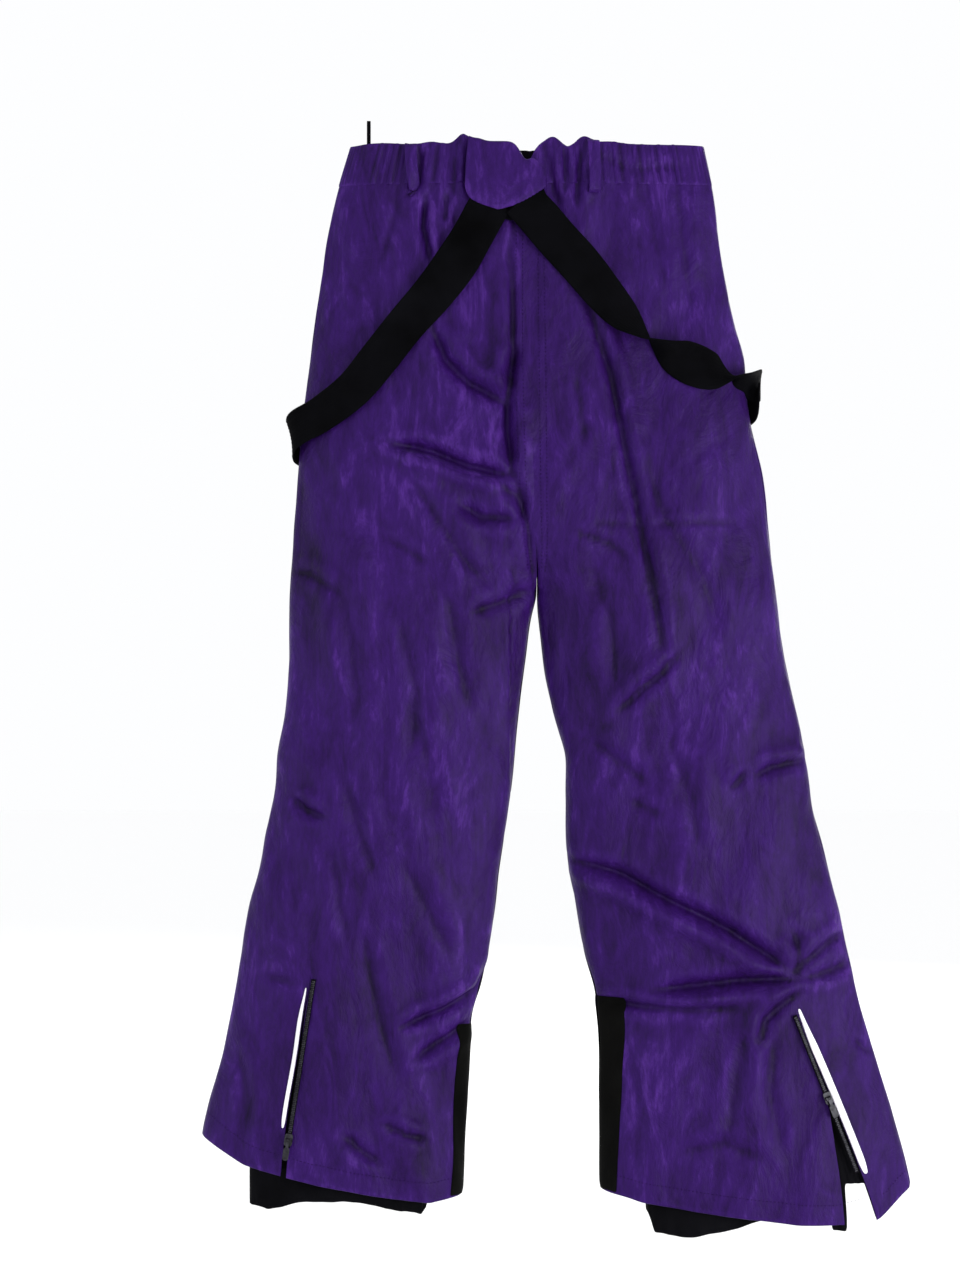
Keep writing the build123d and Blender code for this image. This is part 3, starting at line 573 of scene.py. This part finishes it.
class Half:
    """One half of the garment: rows from waist to hem, columns from the back's inner seam
    round the side to the front's inner seam. Two columns share the ankle vent's line."""

    def __init__(self, side):
        self.side = side
        self.columns = FRONT_START + 1 + FRONT_COLUMNS
        shape = (ROWS, self.columns)
        self.face = np.full(shape, BACK)
        self.face[:, FRONT_START:] = FRONT
        self.share = np.zeros(shape)
        x, z = np.zeros(shape), np.zeros(shape)
        main = np.arange(CUT) / MAIN_COLUMNS
        flap = np.arange(FLAP_COLUMNS + 1) / FLAP_COLUMNS
        front = (np.arange(FRONT_COLUMNS) + 1) / FRONT_COLUMNS
        for _ in range(4):  # the hem's height depends on x, and x on the height
            hem = np.where(self.face == BACK, hem_at(side, x, BACK), hem_at(side, x, FRONT))
            for i in range(ROWS):
                if i <= ROWS_ABOVE:
                    z[i] = CROTCH * i / ROWS_ABOVE
                else:
                    t = (i - ROWS_ABOVE) / ROWS_BELOW
                    z[i] = CROTCH + (hem[i] - CROTCH) * t
            vent_out, vent_in = vent_shares(side, z)
            flaps = slice(CUT, FRONT_START + 1)
            self.share[:, :CUT] = 1 + (vent_in[:, :CUT] - 1) * main
            self.share[:, flaps] = vent_out[:, flaps] * (1 - flap)
            self.share[:, FRONT_START + 1:] = front
            x, y = skin(side, self.face, self.share, z)
        self.base = np.stack([x, y, z], axis=-1)
        self.place = self.base.copy()
        self.normal = self.normals()
        out = np.where(
            self.face == BACK,
            relief(side, BACK, x, z, self.share),
            relief(side, FRONT, x, z, self.share),
        )
        self.place = self.base + self.normal * out[..., None]
        self.place[..., 2] += np.where(self.face == BACK, ruffle(x) * np.exp(z / 16), 0)
        self.normal = self.normals()

    def normals(self):
        """Outward directions, worked out apart on each side of the vent."""
        result = np.zeros(self.place.shape)
        way = -1 if self.side == "left" else 1
        for part in (slice(0, CUT), slice(CUT, self.columns)):
            down = np.gradient(self.place[:, part], axis=0)
            across = np.gradient(self.place[:, part], axis=1)
            outward = np.cross(down, across) * way
            length = np.linalg.norm(outward, axis=-1, keepdims=True)
            result[:, part] = outward / np.maximum(length, 1e-9)
        return result

    def column(self, face, share, row):
        """The fractional column of a share on one face, in one row."""
        line = self.share[row]
        if face == FRONT:
            return FRONT_START + share * FRONT_COLUMNS
        if share >= line[MAIN_COLUMNS]:
            return (1 - share) / (1 - line[MAIN_COLUMNS]) * MAIN_COLUMNS
        share = min(share, line[CUT])
        return CUT + (1 - share / line[CUT]) * FLAP_COLUMNS

    def at(self, face, share, z, lift=0.0):
        """A point of the finished cloth in metres, lifted off it by so many millimetres."""
        rows = self.base[:, self.nearest_column(face, share), 2]
        row = np.interp(-z, -rows, np.arange(ROWS))
        low = int(min(row, ROWS - 2))
        t = row - low
        found, direction = [], []
        for i in (low, low + 1):
            column = self.column(face, share, i)
            left = int(min(column, self.columns - 2))
            u = column - left
            found.append(self.place[i, left] * (1 - u) + self.place[i, left + 1] * u)
            direction.append(self.normal[i, left] * (1 - u) + self.normal[i, left + 1] * u)
        point = found[0] * (1 - t) + found[1] * t
        normal = direction[0] * (1 - t) + direction[1] * t
        normal /= max(np.linalg.norm(normal), 1e-9)
        return Vector((point + normal * lift) * MM), Vector(normal)

    def nearest_column(self, face, share):
        return int(round(min(self.column(face, share, ROWS - 1), self.columns - 1)))

    def share_of(self, x, z):
        """The share at which the cloth has this x, at height z."""
        outer, inner = along(OUTER[self.side], z), along(INNER[self.side], z)
        sweep = sweep_at(z)
        half = (inner - outer) / (1 - np.cos(sweep))
        return float(np.arccos(np.clip(1 - (x - outer) / half, -1, 1)) / sweep)


HALVES = {"left": Half("left"), "right": Half("right")}


def on_cloth(face, x, z, lift=0.0):
    """The point of the finished cloth nearest a given x and z, in metres, and its normal."""
    half = HALVES["left" if x < along(INNER["left"], z) else "right"]
    return half.at(face, half.share_of(x, z), z, lift)


# ---------------------------------------------------------------- meshes
def new_piece(name, verts, faces, material, body="garment", smooth=True):
    mesh = bpy.data.meshes.new(name)
    mesh.from_pydata([tuple(v) for v in verts], [], faces)
    mesh.update()
    if smooth:
        mesh.shade_smooth()
    piece = bpy.data.objects.new(name, mesh)
    bpy.context.collection.objects.link(piece)
    mesh.materials.append(MATERIALS[material])
    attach(piece, body)
    return piece


def subdivide(piece):
    modifier = piece.modifiers.new("smooth", "SUBSURF")
    modifier.levels = modifier.render_levels = 1


def outside_in(side, face):
    """True where shares that rise along a row would turn a grid's faces to the inside."""
    return (side == "left") == (face == BACK)


def grid_faces(rows, columns, start=0, flip=False):
    faces = []
    for i in range(rows - 1):
        for j in range(columns - 1):
            a = start + i * columns + j
            quad = (a, a + 1, a + columns + 1, a + columns)
            faces.append(quad[::-1] if flip else quad)
    return faces


def tube_faces(rings, around, flip=False, capped=True):
    """The faces that join rings of points into a tube."""
    faces = []
    for i in range(rings - 1):
        for j in range(around):
            a, b = i * around + j, i * around + (j + 1) % around
            faces.append((a, b, b + around, a + around))
    if capped:
        last = (rings - 1) * around
        faces += [tuple(range(around))[::-1], tuple(range(last, last + around))]
    return [face[::-1] for face in faces] if flip else faces


# A hem's roll, as (inward, up, which row from the foot) in millimetres.
HEM_ROLL = ((0.9, -1.2, 1), (2.4, -1.4, 1), (3.2, 0.2, 1), (3.5, 0, 6))


def cloth_piece(name, side, face, lift, material, tuck=True):
    """One face of one half as a sheet, with its hem rolled to the inside."""
    half = HALVES[side]
    if face == BACK:
        parts = [range(CUT), range(CUT, FRONT_START + 1)]
    else:
        parts = [range(FRONT_START, half.columns)]
    verts, faces, seen = [], [], {}

    def vertex(point):
        key = tuple(np.round(point * 20).astype(int))
        if key not in seen:
            seen[key] = len(verts)
            verts.append(point * MM)
        return seen[key]

    for part in parts:
        grid = []
        for i in range(ROWS):
            grid.append([vertex(half.place[i, j] + half.normal[i, j] * lift) for j in part])
        for inward, up, back in HEM_ROLL if tuck else ():
            row = []
            for j in part:
                point = half.place[ROWS - back, j] + np.array([0, 0, up])
                row.append(vertex(point - half.normal[ROWS - back, j] * inward))
            grid.append(row)
        for upper, lower in zip(grid, grid[1:]):
            for j in range(len(upper) - 1):
                quad = (upper[j], upper[j + 1], lower[j + 1], lower[j])
                corners = tuple(dict.fromkeys(quad))
                if len(corners) > 2:
                    faces.append(corners if side == "left" else corners[::-1])
    piece = new_piece(name, verts, faces, material)
    subdivide(piece)
    return piece


def directions(points, normals, i):
    """Sideways and outward from a line, at one of its points."""
    ahead = (points[min(i + 1, len(points) - 1)] - points[max(i - 1, 0)]).normalized()
    sideways = ahead.cross(normals[i]).normalized()
    return sideways, sideways.cross(ahead).normalized()


def sweep_profile(points, normals, profile):
    """A solid drawn along points, its closed profile given as (sideways, outward) in mm."""
    verts = []
    for i, point in enumerate(points):
        sideways, outward = directions(points, normals, i)
        for across, up in profile:
            verts.append(point + sideways * across * MM + outward * up * MM)
    return verts, tube_faces(len(points), len(profile))


def smooth_line(points, steps=10):
    """Points along a Catmull-Rom line through the given vectors."""
    result = []
    for i in range(len(points) - 1):
        a = points[max(i - 1, 0)]
        b, c = points[i], points[i + 1]
        d = points[min(i + 2, len(points) - 1)]
        for k in range(steps):
            t = k / steps
            result.append(0.5 * (
                2 * b + (c - a) * t + (2 * a - 5 * b + 4 * c - d) * t * t
                + (3 * b - a - 3 * c + d) * t ** 3
            ))
    result.append(points[-1].copy())
    return result


# ---------------------------------------------------------------- shell and lining
LINING_LIFT = -4.2
for side in HALVES:
    for face_name, face in (("back", BACK), ("front", FRONT)):
        panel = cloth_piece(f"{side}_{face_name}_cloth", side, face, 0.0, "shell_fabric")
        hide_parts(f"{side}_{face_name}_panel")
    for face_name, face, nodes in (
        ("back", BACK, (f"{side}_wadding",)),
        ("front", FRONT, (f"{side}_lining", f"{side}_pocket_bag")),
    ):
        inner = cloth_piece(
            f"{side}_{face_name}_lining", side, face, LINING_LIFT, "lining_fabric", tuck=False)
        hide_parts(*nodes)

# ---------------------------------------------------------------- waistband
BAND_HEIGHT = 40
BAND_LIFT, BAND_ROLL = 0.5, 0.8
BAND_ROWS, BAND_COLUMNS = 10, 110


def waistband(face_name, face, gathers):
    """The waistband's cloth on one face, gathered by its elastic, with rolled edges."""
    verts, faces = [], []
    for side, half in HALVES.items():
        start = len(verts)
        for i in range(BAND_ROWS + 3):
            z = -BAND_HEIGHT * min(max((i - 1) / BAND_ROWS, 0), 1)
            roll = BAND_ROLL if i in (0, BAND_ROWS + 2) else 0
            for j in range(BAND_COLUMNS + 1):
                share = j / BAND_COLUMNS
                amount = gathers if 0.38 < share < 0.99 else 0.15
                up = BAND_LIFT + amount * (0.9 * sin(share * 150) + 0.5 * sin(share * 67 + 1))
                verts.append(half.at(face, share, z, up - roll)[0])
        faces += grid_faces(BAND_ROWS + 3, BAND_COLUMNS + 1, start, outside_in(side, face))
    band = new_piece(f"waistband_{face_name}_cloth", verts, faces, "shell_fabric")
    subdivide(band)
    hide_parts(f"waistband_{face_name}")
    if face == BACK:
        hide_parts("waist_elastic")


waistband("back", BACK, 1.3)
waistband("front", FRONT, 0.15)

# ---------------------------------------------------------------- back tab, patch and loops
TAB_EDGE = [(-61, 3), (-64, -22), (-65, -46), (-61, -57), (-46, -63), (-32, -67), (-20, -66),
            (-6, -58), (8, -50), (16, -45), (12, -28), (2, -10), (-4, 0)]
PATCH_EDGE = [(-56, -34), (-60, -60), (-42, -72), (-20, -78), (2, -73), (18, -58), (8, -34)]
PATCH_THICKNESS = 1.6


def padded_patch(name, edge, face, lift, thickness, material, cells=16):
    """A sewn patch that follows the cloth, cut to an outline given as a left and right edge."""
    zs = [p[1] for p in edge]
    top, foot = max(zs), min(zs)
    split = zs.index(foot)
    left, right = edge[:split + 1], edge[split:][::-1]
    verts = []
    for i in range(cells + 1):
        z = top + (foot - top) * i / cells
        low = np.interp(-z, [-p[1] for p in left], [p[0] for p in left])
        high = np.interp(-z, [-p[1] for p in right], [p[0] for p in right])
        for j in range(cells + 1):
            t = j / cells
            x = low + (high - low) * t
            crown = min(1, 6 * min(t, 1 - t, i / cells + 0.05, 1 - i / cells + 0.02))
            point, _ = on_cloth(face, x, z, 0)
            y = face * (float(along(DEPTH, z)) + lift + thickness * crown) * MM
            verts.append((x * MM, y, point.z))
    faces = grid_faces(cells + 1, cells + 1, flip=face == BACK)
    piece = new_piece(name, verts, faces, material)
    subdivide(piece)
    modifier = piece.modifiers.new("thickness", "SOLIDIFY")
    modifier.thickness = PATCH_THICKNESS * MM
    modifier.offset = 0
    return piece


tab = padded_patch("back_tab_cloth", TAB_EDGE, BACK, 8.4, 2.4, "shell_fabric")
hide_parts("back_tab")
patch = padded_patch("strap_patch_webbing", PATCH_EDGE, BACK, 4.0, 0.4, "webbing", cells=10)
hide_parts("strap_patch")

# The belt loops' places, their route as (z, lift), and their section.
LOOP_PLACES = [(BACK, -118), (BACK, 62), (FRONT, -166), (FRONT, 166)]
LOOP_ROUTE = [(-1, 1.8), (-2, 3.6), (-5, 4.8), (-24, 5.4), (-44, 4.8), (-48, 3.4), (-50, 1.2)]
LOOP_SECTION = [(-6, -0.5), (-6, 0.5), (-5, 0.8), (5, 0.8), (6, 0.5), (6, -0.5)]

loop_verts, loop_faces = [], []
for face, x in LOOP_PLACES:
    points, normals = zip(*(on_cloth(face, x, z, lift) for z, lift in LOOP_ROUTE))
    verts, faces = sweep_profile(smooth_line(points, 4), smooth_line(normals, 4), LOOP_SECTION)
    loop_faces += [tuple(v + len(loop_verts) for v in f) for f in faces]
    loop_verts += verts
loops = new_piece("belt_loop_cloth", loop_verts, loop_faces, "shell_fabric")
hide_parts("belt_loops")


# ---------------------------------------------------------------- braces
WEBBING_WIDTH, WEBBING_RIBS, WEBBING_EDGE = 40, 20, 0.95
OFF_CLOTH = 2.5
RING_X, RING_Y = 95, 41
RING_RUN = (-168, -150, -110, -72, -61.5)  # heights of the straight run up to the front ring


def twisted_webbing(name, route, node):
    """Elastic webbing through (point, outward normal, twist, width) places, in millimetres."""
    points = smooth_line([Vector(r[0]) * MM for r in route])
    normals = smooth_line([Vector(r[1]) for r in route])
    twists = smooth_line([Vector((r[2], r[3], 0)) for r in route])
    verts = []
    for i, (point, (twist, width, _)) in enumerate(zip(points, twists)):
        sideways, outward = directions(points, normals, i)
        turn = radians(twist)
        across = sideways * cos(turn) + outward * sin(turn)
        up = outward * cos(turn) - sideways * sin(turn)
        for way in (1, -1):
            for k in range(WEBBING_RIBS + 1):
                place = way * (k / WEBBING_RIBS - 0.5)
                rib = 0.22 if k % 2 else -0.12
                rounding = 0.5 if k in (0, WEBBING_RIBS) else 0
                high = way * (WEBBING_EDGE + rib - rounding)
                verts.append(point + (across * place * width + up * high) * MM)
    piece = new_piece(name, verts, tube_faces(len(points), 2 * (WEBBING_RIBS + 1)), "webbing")
    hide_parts(node)


def brace_route(way, laid, turn):
    """A brace's places: laid on the cloth, turned in a bow, then straight up to its ring."""
    route = []
    for face, x, z, lift, twist, width in laid:
        half = HALVES["left" if x < 0 else "right"]
        share = half.share_of(x, z)
        x_skin, y_skin = skin(half.side, face, share, z)
        _, normal = half.at(face, share, z)
        if abs(normal.y) < 0.35:  # round the side edge
            outward = Vector((way, normal.y, 0)).normalized()
        else:
            outward = Vector((0.5 * normal.x, face, 0)).normalized()
        place = Vector((float(x_skin), float(y_skin), z)) + outward * (lift + OFF_CLOTH)
        route.append((tuple(place), tuple(outward), twist, width))
    base = route[-1][2]
    route += [(point, normal, base, WEBBING_WIDTH) for point, normal in turn]
    route += [((way * RING_X, RING_Y, z), (0, 1, 0), base, WEBBING_WIDTH) for z in RING_RUN]
    return route


# Each place is (face, x, z, lift, twist in degrees, width).
LEFT_LAID = [
    (BACK, -37, -58, 5.0, 0, 40), (BACK, -44, -69, 5.0, 0, 41), (BACK, -57, -93, 4.5, 0, 41),
    (BACK, -74, -121, 4.0, 0, 43), (BACK, -97, -151, 4.0, 0, 41), (BACK, -123, -182, 4.5, 4, 39),
    (BACK, -149, -214, 4.5, 0, 39), (BACK, -175, -245, 5.0, -6, 38),
    (BACK, -206, -269, 5.0, -10, 38), (BACK, -227, -281, 8.0, -8, 37),
    (BACK, -234, -291, 7.0, 0, 38), (FRONT, -224, -299, 4.0, 0, 40),
    (FRONT, -200, -306, 5.0, 0, 40), (FRONT, -174, -314, 8.0, 0, 40),
]
LEFT_TURN = [
    ((-142, 55, -324), (0, 0.9, -0.4)), ((-116, 60, -311), (0.4, 0.8, -0.4)),
    ((-101, 58, -282), (0.5, 0.85, -0.2)), ((-96, 50, -236), (0.1, 1, 0)),
    ((-95, 43, -190), (0, 1, 0)),
]
RIGHT_LAID = [
    (BACK, -10, -57, 6.0, 0, 40), (BACK, 6, -73, 5.0, 0, 42), (BACK, 27, -97, 4.5, 0, 42),
    (BACK, 50, -123, 4.0, 0, 42), (BACK, 72, -151, 4.5, 6, 40), (BACK, 92, -174, 7.0, 26, 37),
    (BACK, 110, -191, 10.0, 64, 31), (BACK, 128, -204, 10.0, 116, 32),
    (BACK, 146, -214, 7.0, 160, 39), (BACK, 164, -222, 5.0, 180, 42),
    (BACK, 181, -228, 6.0, 196, 38), (BACK, 196, -231, 8.0, 246, 27),
    (BACK, 207, -234, 9.0, 300, 28), (BACK, 216, -240, 10.0, 344, 35),
    (BACK, 219, -250, 8.0, 360, 39), (FRONT, 211, -260, 4.0, 360, 40),
    (FRONT, 192, -269, 5.0, 360, 40), (FRONT, 168, -280, 8.0, 360, 40),
]
RIGHT_TURN = [
    ((142, 55, -290), (0, 0.9, -0.4)), ((116, 60, -276), (-0.4, 0.8, -0.4)),
    ((101, 58, -248), (-0.5, 0.85, -0.2)), ((96, 49, -210), (-0.1, 1, 0)),
    ((95, 42.5, -186), (0, 1, 0)),
]
twisted_webbing("left_brace_webbing", brace_route(-1, LEFT_LAID, LEFT_TURN), "left_strap")
twisted_webbing("right_brace_webbing", brace_route(1, RIGHT_LAID, RIGHT_TURN), "right_strap")

# ---------------------------------------------------------------- ankle vents
# Each side's top, foot, half width, and share between the piping and the vent's edge.
PIPING = {"left": (-836, -975, 2.2, 0.008), "right": (-857, -1022, 4.0, 0.013)}
# The gusset's lower edge, as (part of the way across, z).
GUSSET_FOOT = {
    "left": [(0, -1016), (1, -1016)],
    "right": [(0, -1032), (0.66, -1032), (0.74, -1079), (1, -1077)],
}


def piping(side, steps=30, around=8):
    """The raised reflective line beside a vent, tapered at both ends."""
    top, foot, wide, apart = PIPING[side]
    points, normals = [], []
    for i in range(steps + 1):
        z = top + (foot - top) * i / steps
        point, normal = HALVES[side].at(BACK, vent_shares(side, z)[0] - apart, z, 0.1)
        points.append(point)
        normals.append(normal)
    verts = []
    for i, point in enumerate(points):
        sideways, _ = directions(points, normals, i)
        taper = 0.35 + 0.65 * min(1, i / 7, (steps - i) / 3 + 0.3)
        for k in range(around + 1):
            across = wide * taper * cos(pi * k / around)
            up = (0.2 + 1.6 * taper) * sin(pi * k / around)
            verts.append(point + (sideways * across + normals[i] * up) * MM)
    faces = tube_faces(steps + 1, around + 1, flip=True)
    tape = new_piece(f"{side}_piping_tape", verts, faces, "reflective_piping")
    subdivide(tape)
    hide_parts(f"{side}_piping")


def gusset(side, rows=40, columns=20):
    """The thin black cloth behind a vent."""
    top = VENTS[side]["top"] + 12
    verts = []
    for i in range(rows + 1):
        for j in range(columns + 1):
            across = j / columns
            z = top + (np.interp(across, *zip(*GUSSET_FOOT[side])) - top) * i / rows
            low, high = vent_shares(side, z)
            x, y = skin(side, BACK, low - 0.02 + (high - low + 0.05) * across, z)
            inward = 5.4 + 1.4 * sin(j * 1.9 + i * 0.12) * (i / rows)
            verts.append((x * MM, (y + inward) * MM, z * MM))
    faces = grid_faces(rows + 1, columns + 1, flip=outside_in(side, BACK))
    cloth = new_piece(f"{side}_gusset_cloth", verts, faces, "inner_nylon")
    subdivide(cloth)
    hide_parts(f"{side}_vent_gusset")


for side in HALVES:
    piping(side)
    gusset(side)

# ---------------------------------------------------------------- scuff guards
# Each side's top, the share where the guard starts, and how far that moves down to the hem.
GUARDS = {"left": (-876, 0.865, 0.0), "right": (-848, 0.795, 0.065)}


def scuff_guard(side, rows=34, columns=20):
    """The tough black patch round the inner ankle."""
    top, first, taper = GUARDS[side]
    verts, faces = [], []
    for face in (BACK, FRONT):
        start = len(verts)
        for i in range(rows + 1):
            start_share = first + taper * i / rows
            for j in range(columns + 1):
                s = start_share + (1 - start_share) * j / columns
                x, _ = skin(side, face, s, top)
                z = top + (hem_at(side, x, face) - 0.4 - top) * i / rows
                edge = i in (0, rows) or j == 0
                verts.append(HALVES[side].at(face, s, z, 0.3 if edge else 1.3)[0])
        faces += grid_faces(rows + 1, columns + 1, start, outside_in(side, face))
    guard = new_piece(f"{side}_scuff_cloth", verts, faces, "scuff_fabric")
    subdivide(guard)
    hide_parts(f"{side}_scuff_guard")


for side in HALVES:
    scuff_guard(side)


# ---------------------------------------------------------------- gaiters
GAITER_DEPTH = 22.5  # half of its thickness, front to back
PUCKERS = 30


def gaiter(side, top, top_x, foot_x, top_half, foot_half, low_edge, rows=46, columns=120):
    """The inner snow gaiter: a limp tube, drawn in by an elastic band at its foot."""
    verts = []
    for i in range(rows + 1):
        t = i / rows
        x_mid = top_x + (foot_x - top_x) * t
        wide = top_half + (foot_half - top_half) * t
        band_t = max(0, (t - 0.88) / 0.12)
        for j in range(columns):
            a = 2 * pi * j / columns
            pucker = band_t * 1.1 * sin(PUCKERS * a)
            fold = 2.2 * sin(3 * a + 4 * t) * (1 - band_t) + 1.6 * sin(7 * a - 5 * t + 1)
            x = x_mid + (wide - 2 + fold * 0.4 + pucker) * cos(a)
            y = (GAITER_DEPTH + fold + pucker) * sin(a)
            drop = np.interp(x, *zip(*low_edge))
            z = top + (drop - top) * t + (0.8 * sin(9 * a) if i == rows else 0)
            verts.append((x * MM, y * MM, z * MM))
    faces = tube_faces(rows + 1, columns, flip=True, capped=False)
    piece = new_piece(f"{side}_gaiter_cloth", verts, faces, "inner_nylon")
    subdivide(piece)
    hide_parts(f"{side}_gaiter", f"{side}_gaiter_elastic")


gaiter("left", -870, -182, -192, 100, 90,
       [(-284, -1054), (-262, -1060), (-232, -1052), (-185, -1050), (-140, -1058),
        (-109, -1066), (-98, -1050)])
gaiter("right", -880, 208, 212, 108, 98,
       [(110, -1052), (119, -1066), (124, -1084), (162, -1087), (195, -1080), (226, -1070),
        (306, -1066)])


# ---------------------------------------------------------------- seams and stitching
STITCH_LENGTH, STITCH_GAP, STITCH_RADIUS = 2.6, 1.3, 0.32
HEM_SEAM = 19  # how far the hem's stitches lie above its edge
HEM_STEPS = 80


def stitches(name, rows):
    """Rows of small raised stitches. Each row is a list of (point, normal)."""
    verts, faces = [], []
    for line in rows:
        walked, want, on = 0.0, 0.0, True
        for (point, normal), (next_point, next_normal) in zip(line, line[1:]):
            step = (next_point - point).length / MM
            while want <= walked + step:
                t = (want - walked) / max(step, 1e-9)
                spot = point.lerp(next_point, t)
                if on:
                    begin = (spot, normal.lerp(next_normal, t))
                    want += STITCH_LENGTH
                else:
                    add_stitch(verts, faces, begin[0], spot, begin[1])
                    want += STITCH_GAP
                on = not on
            walked += step
    new_piece(name, verts, faces, "thread")


def add_stitch(verts, faces, start, end, normal):
    """One stitch as a thin spindle that lies on the cloth."""
    middle = (start + end) / 2 + normal * STITCH_RADIUS * MM
    direction = (end - start).normalized()
    sideways = direction.cross(normal).normalized() * STITCH_RADIUS * MM
    up = normal * STITCH_RADIUS * MM
    first = len(verts)
    verts.extend([start, middle + sideways, middle + up, middle - sideways, middle - up, end])
    for a, b in ((1, 2), (2, 3), (3, 4), (4, 1)):
        faces.append((first, first + a, first + b))
        faces.append((first + 5, first + b, first + a))


def stitched(side, face, start, end, lift=0.35):
    """A row of stitches from one (share, z) place to another on one face."""
    (s0, z0), (s1, z1) = start, end
    steps = max(2, int(abs(z1 - z0) / 4 + abs(s1 - s0) * 80))
    line = []
    for k in range(steps):
        t = k / steps
        line.append(HALVES[side].at(face, s0 + (s1 - s0) * t, z0 + (z1 - z0) * t, lift))
    return line


def hem_stitches(side, face):
    """The row of stitches along a hem, broken where the vent crosses it."""
    start, end, level = 0.02, 0.97, -1030
    vent_out, vent_in = vent_shares(side, level)
    line = []
    for k in range(HEM_STEPS + 1):
        s = start + (end - start) * k / HEM_STEPS
        if face == BACK and vent_out - 0.05 < s < vent_in + 0.01:
            continue
        x, _ = skin(side, face, s, level)
        line.append(HALVES[side].at(face, s, float(hem_at(side, x, face)) + HEM_SEAM, 0.35))
    return line


shell_rows = []
for side in HALVES:
    for face, shares in ((BACK, (0.975, 0.955)), (FRONT, (0.975,))):
        shell_rows += [stitched(side, face, (share, -44), (share, -430)) for share in shares]
        shell_rows.append(hem_stitches(side, face))
stitches("shell_stitching", shell_rows)
stitches("waistband_stitching", [
    stitched(side, FRONT, (0.02, z), (0.98, z), 1.2) for side in HALVES for z in (-37.5, -3)])


# ---------------------------------------------------------------- front closure and zip coils
def rounded(value, squareness=0.32):
    """A sine or cosine pushed outwards, which turns a circle into a rounded rectangle."""
    return abs(value) ** squareness * (1 if value > 0 else -1)


def waist_tab(rings=9, around=56):
    """The soft front tab, with rounded corners and an edge thinner than its middle."""
    low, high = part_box("waist_tab")
    middle, half = (low + high) / 2, (high - low) / 2
    verts = []
    for way in (1, -1):
        for i in range(rings):
            t = i / (rings - 1)
            y = way * half.y * (1 - 0.55 * t ** 6)
            for j in range(around):
                a = 2 * pi * j / around
                across, up = half.x * t * rounded(cos(a)), half.z * t * rounded(sin(a))
                verts.append(middle + Vector((across, y, up)))
    behind = rings * around
    rim = behind - around
    faces = tube_faces(rings, around, capped=False)
    flipped = tube_faces(rings, around, flip=True, capped=False)
    faces += [tuple(behind + v for v in face) for face in flipped]
    for j in range(around):
        a, b = rim + j, rim + (j + 1) % around
        faces.append((a, b, behind + b, behind + a))
    tab_cloth = new_piece("waist_tab_cloth", verts, faces, "shell_fabric", "tab")
    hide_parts("waist_tab")


def coil(node, pitch=1.9, width=3.2, height=0.22):
    """The fine cross ridges of a closed zip coil, along the middle of one chain."""
    chain = frame["nodes"][node]
    places = np.array([tuple(chain.matrix_world @ v.co) for v in chain.data.vertices])
    middle = places.mean(axis=0)
    _, axes = np.linalg.eigh(np.cov((places - middle).T))
    out, along_chain = axes[:, 0], axes[:, 2]
    if out[1] * middle[1] < 0:
        out = -out
    across = np.cross(along_chain, out)
    sides = (places - middle) @ across
    reach = np.abs((places - middle) @ along_chain).max()
    middle = middle + out * ((places - middle) @ out).max()
    middle = middle + across * (np.ptp(sides) / 2 - sides.max())
    count = int(2 * reach / (pitch * MM)) - 1
    verts, faces = [], []
    for i in range(count):
        place = middle + along_chain * (i - (count - 1) / 2) * pitch * MM
        place = place + across * (0.25 if i % 2 else -0.25) * MM
        first = len(verts)
        for up, share in ((-0.1, 1.0), (height, 0.7)):
            for x, y in ((-1, -1), (1, -1), (1, 1), (-1, 1)):
                side_step = across * x * width / 2 * share
                point = place + (side_step + along_chain * y * 0.36 * pitch * share + out * up) * MM
                verts.append(Vector(point))
        for quad in ((4, 5, 6, 7), (0, 1, 5, 4), (1, 2, 6, 5), (2, 3, 7, 6), (3, 0, 4, 7)):
            faces.append(tuple(first + v for v in quad))
    new_piece(node + "_coil", verts, faces, "dark_metal", smooth=False)


waist_tab()
for node in ("fly", "left_pocket", "right_pocket", "left_ankle", "right_ankle"):
    coil(node + "_zip_chain")

# ---------------------------------------------------------------- CAD pieces kept as they are
SLOT_OF = {entry["node"]: entry["material_slot"] for entry in frame["record"]["subparts"]}
for node, obj in frame["nodes"].items():
    slot_name = SLOT_OF[node]
    obj.data.materials.clear()
    obj.data.materials.append(MATERIALS.get(slot_name, MATERIALS["webbing"]))
    if slot_name in ("dark_metal", "black_plastic"):
        bevel = obj.modifiers.new("soft_edges", "BEVEL")
        bevel.width = 0.25 * MM
        bevel.segments = 2
        bevel.limit_method = "ANGLE"
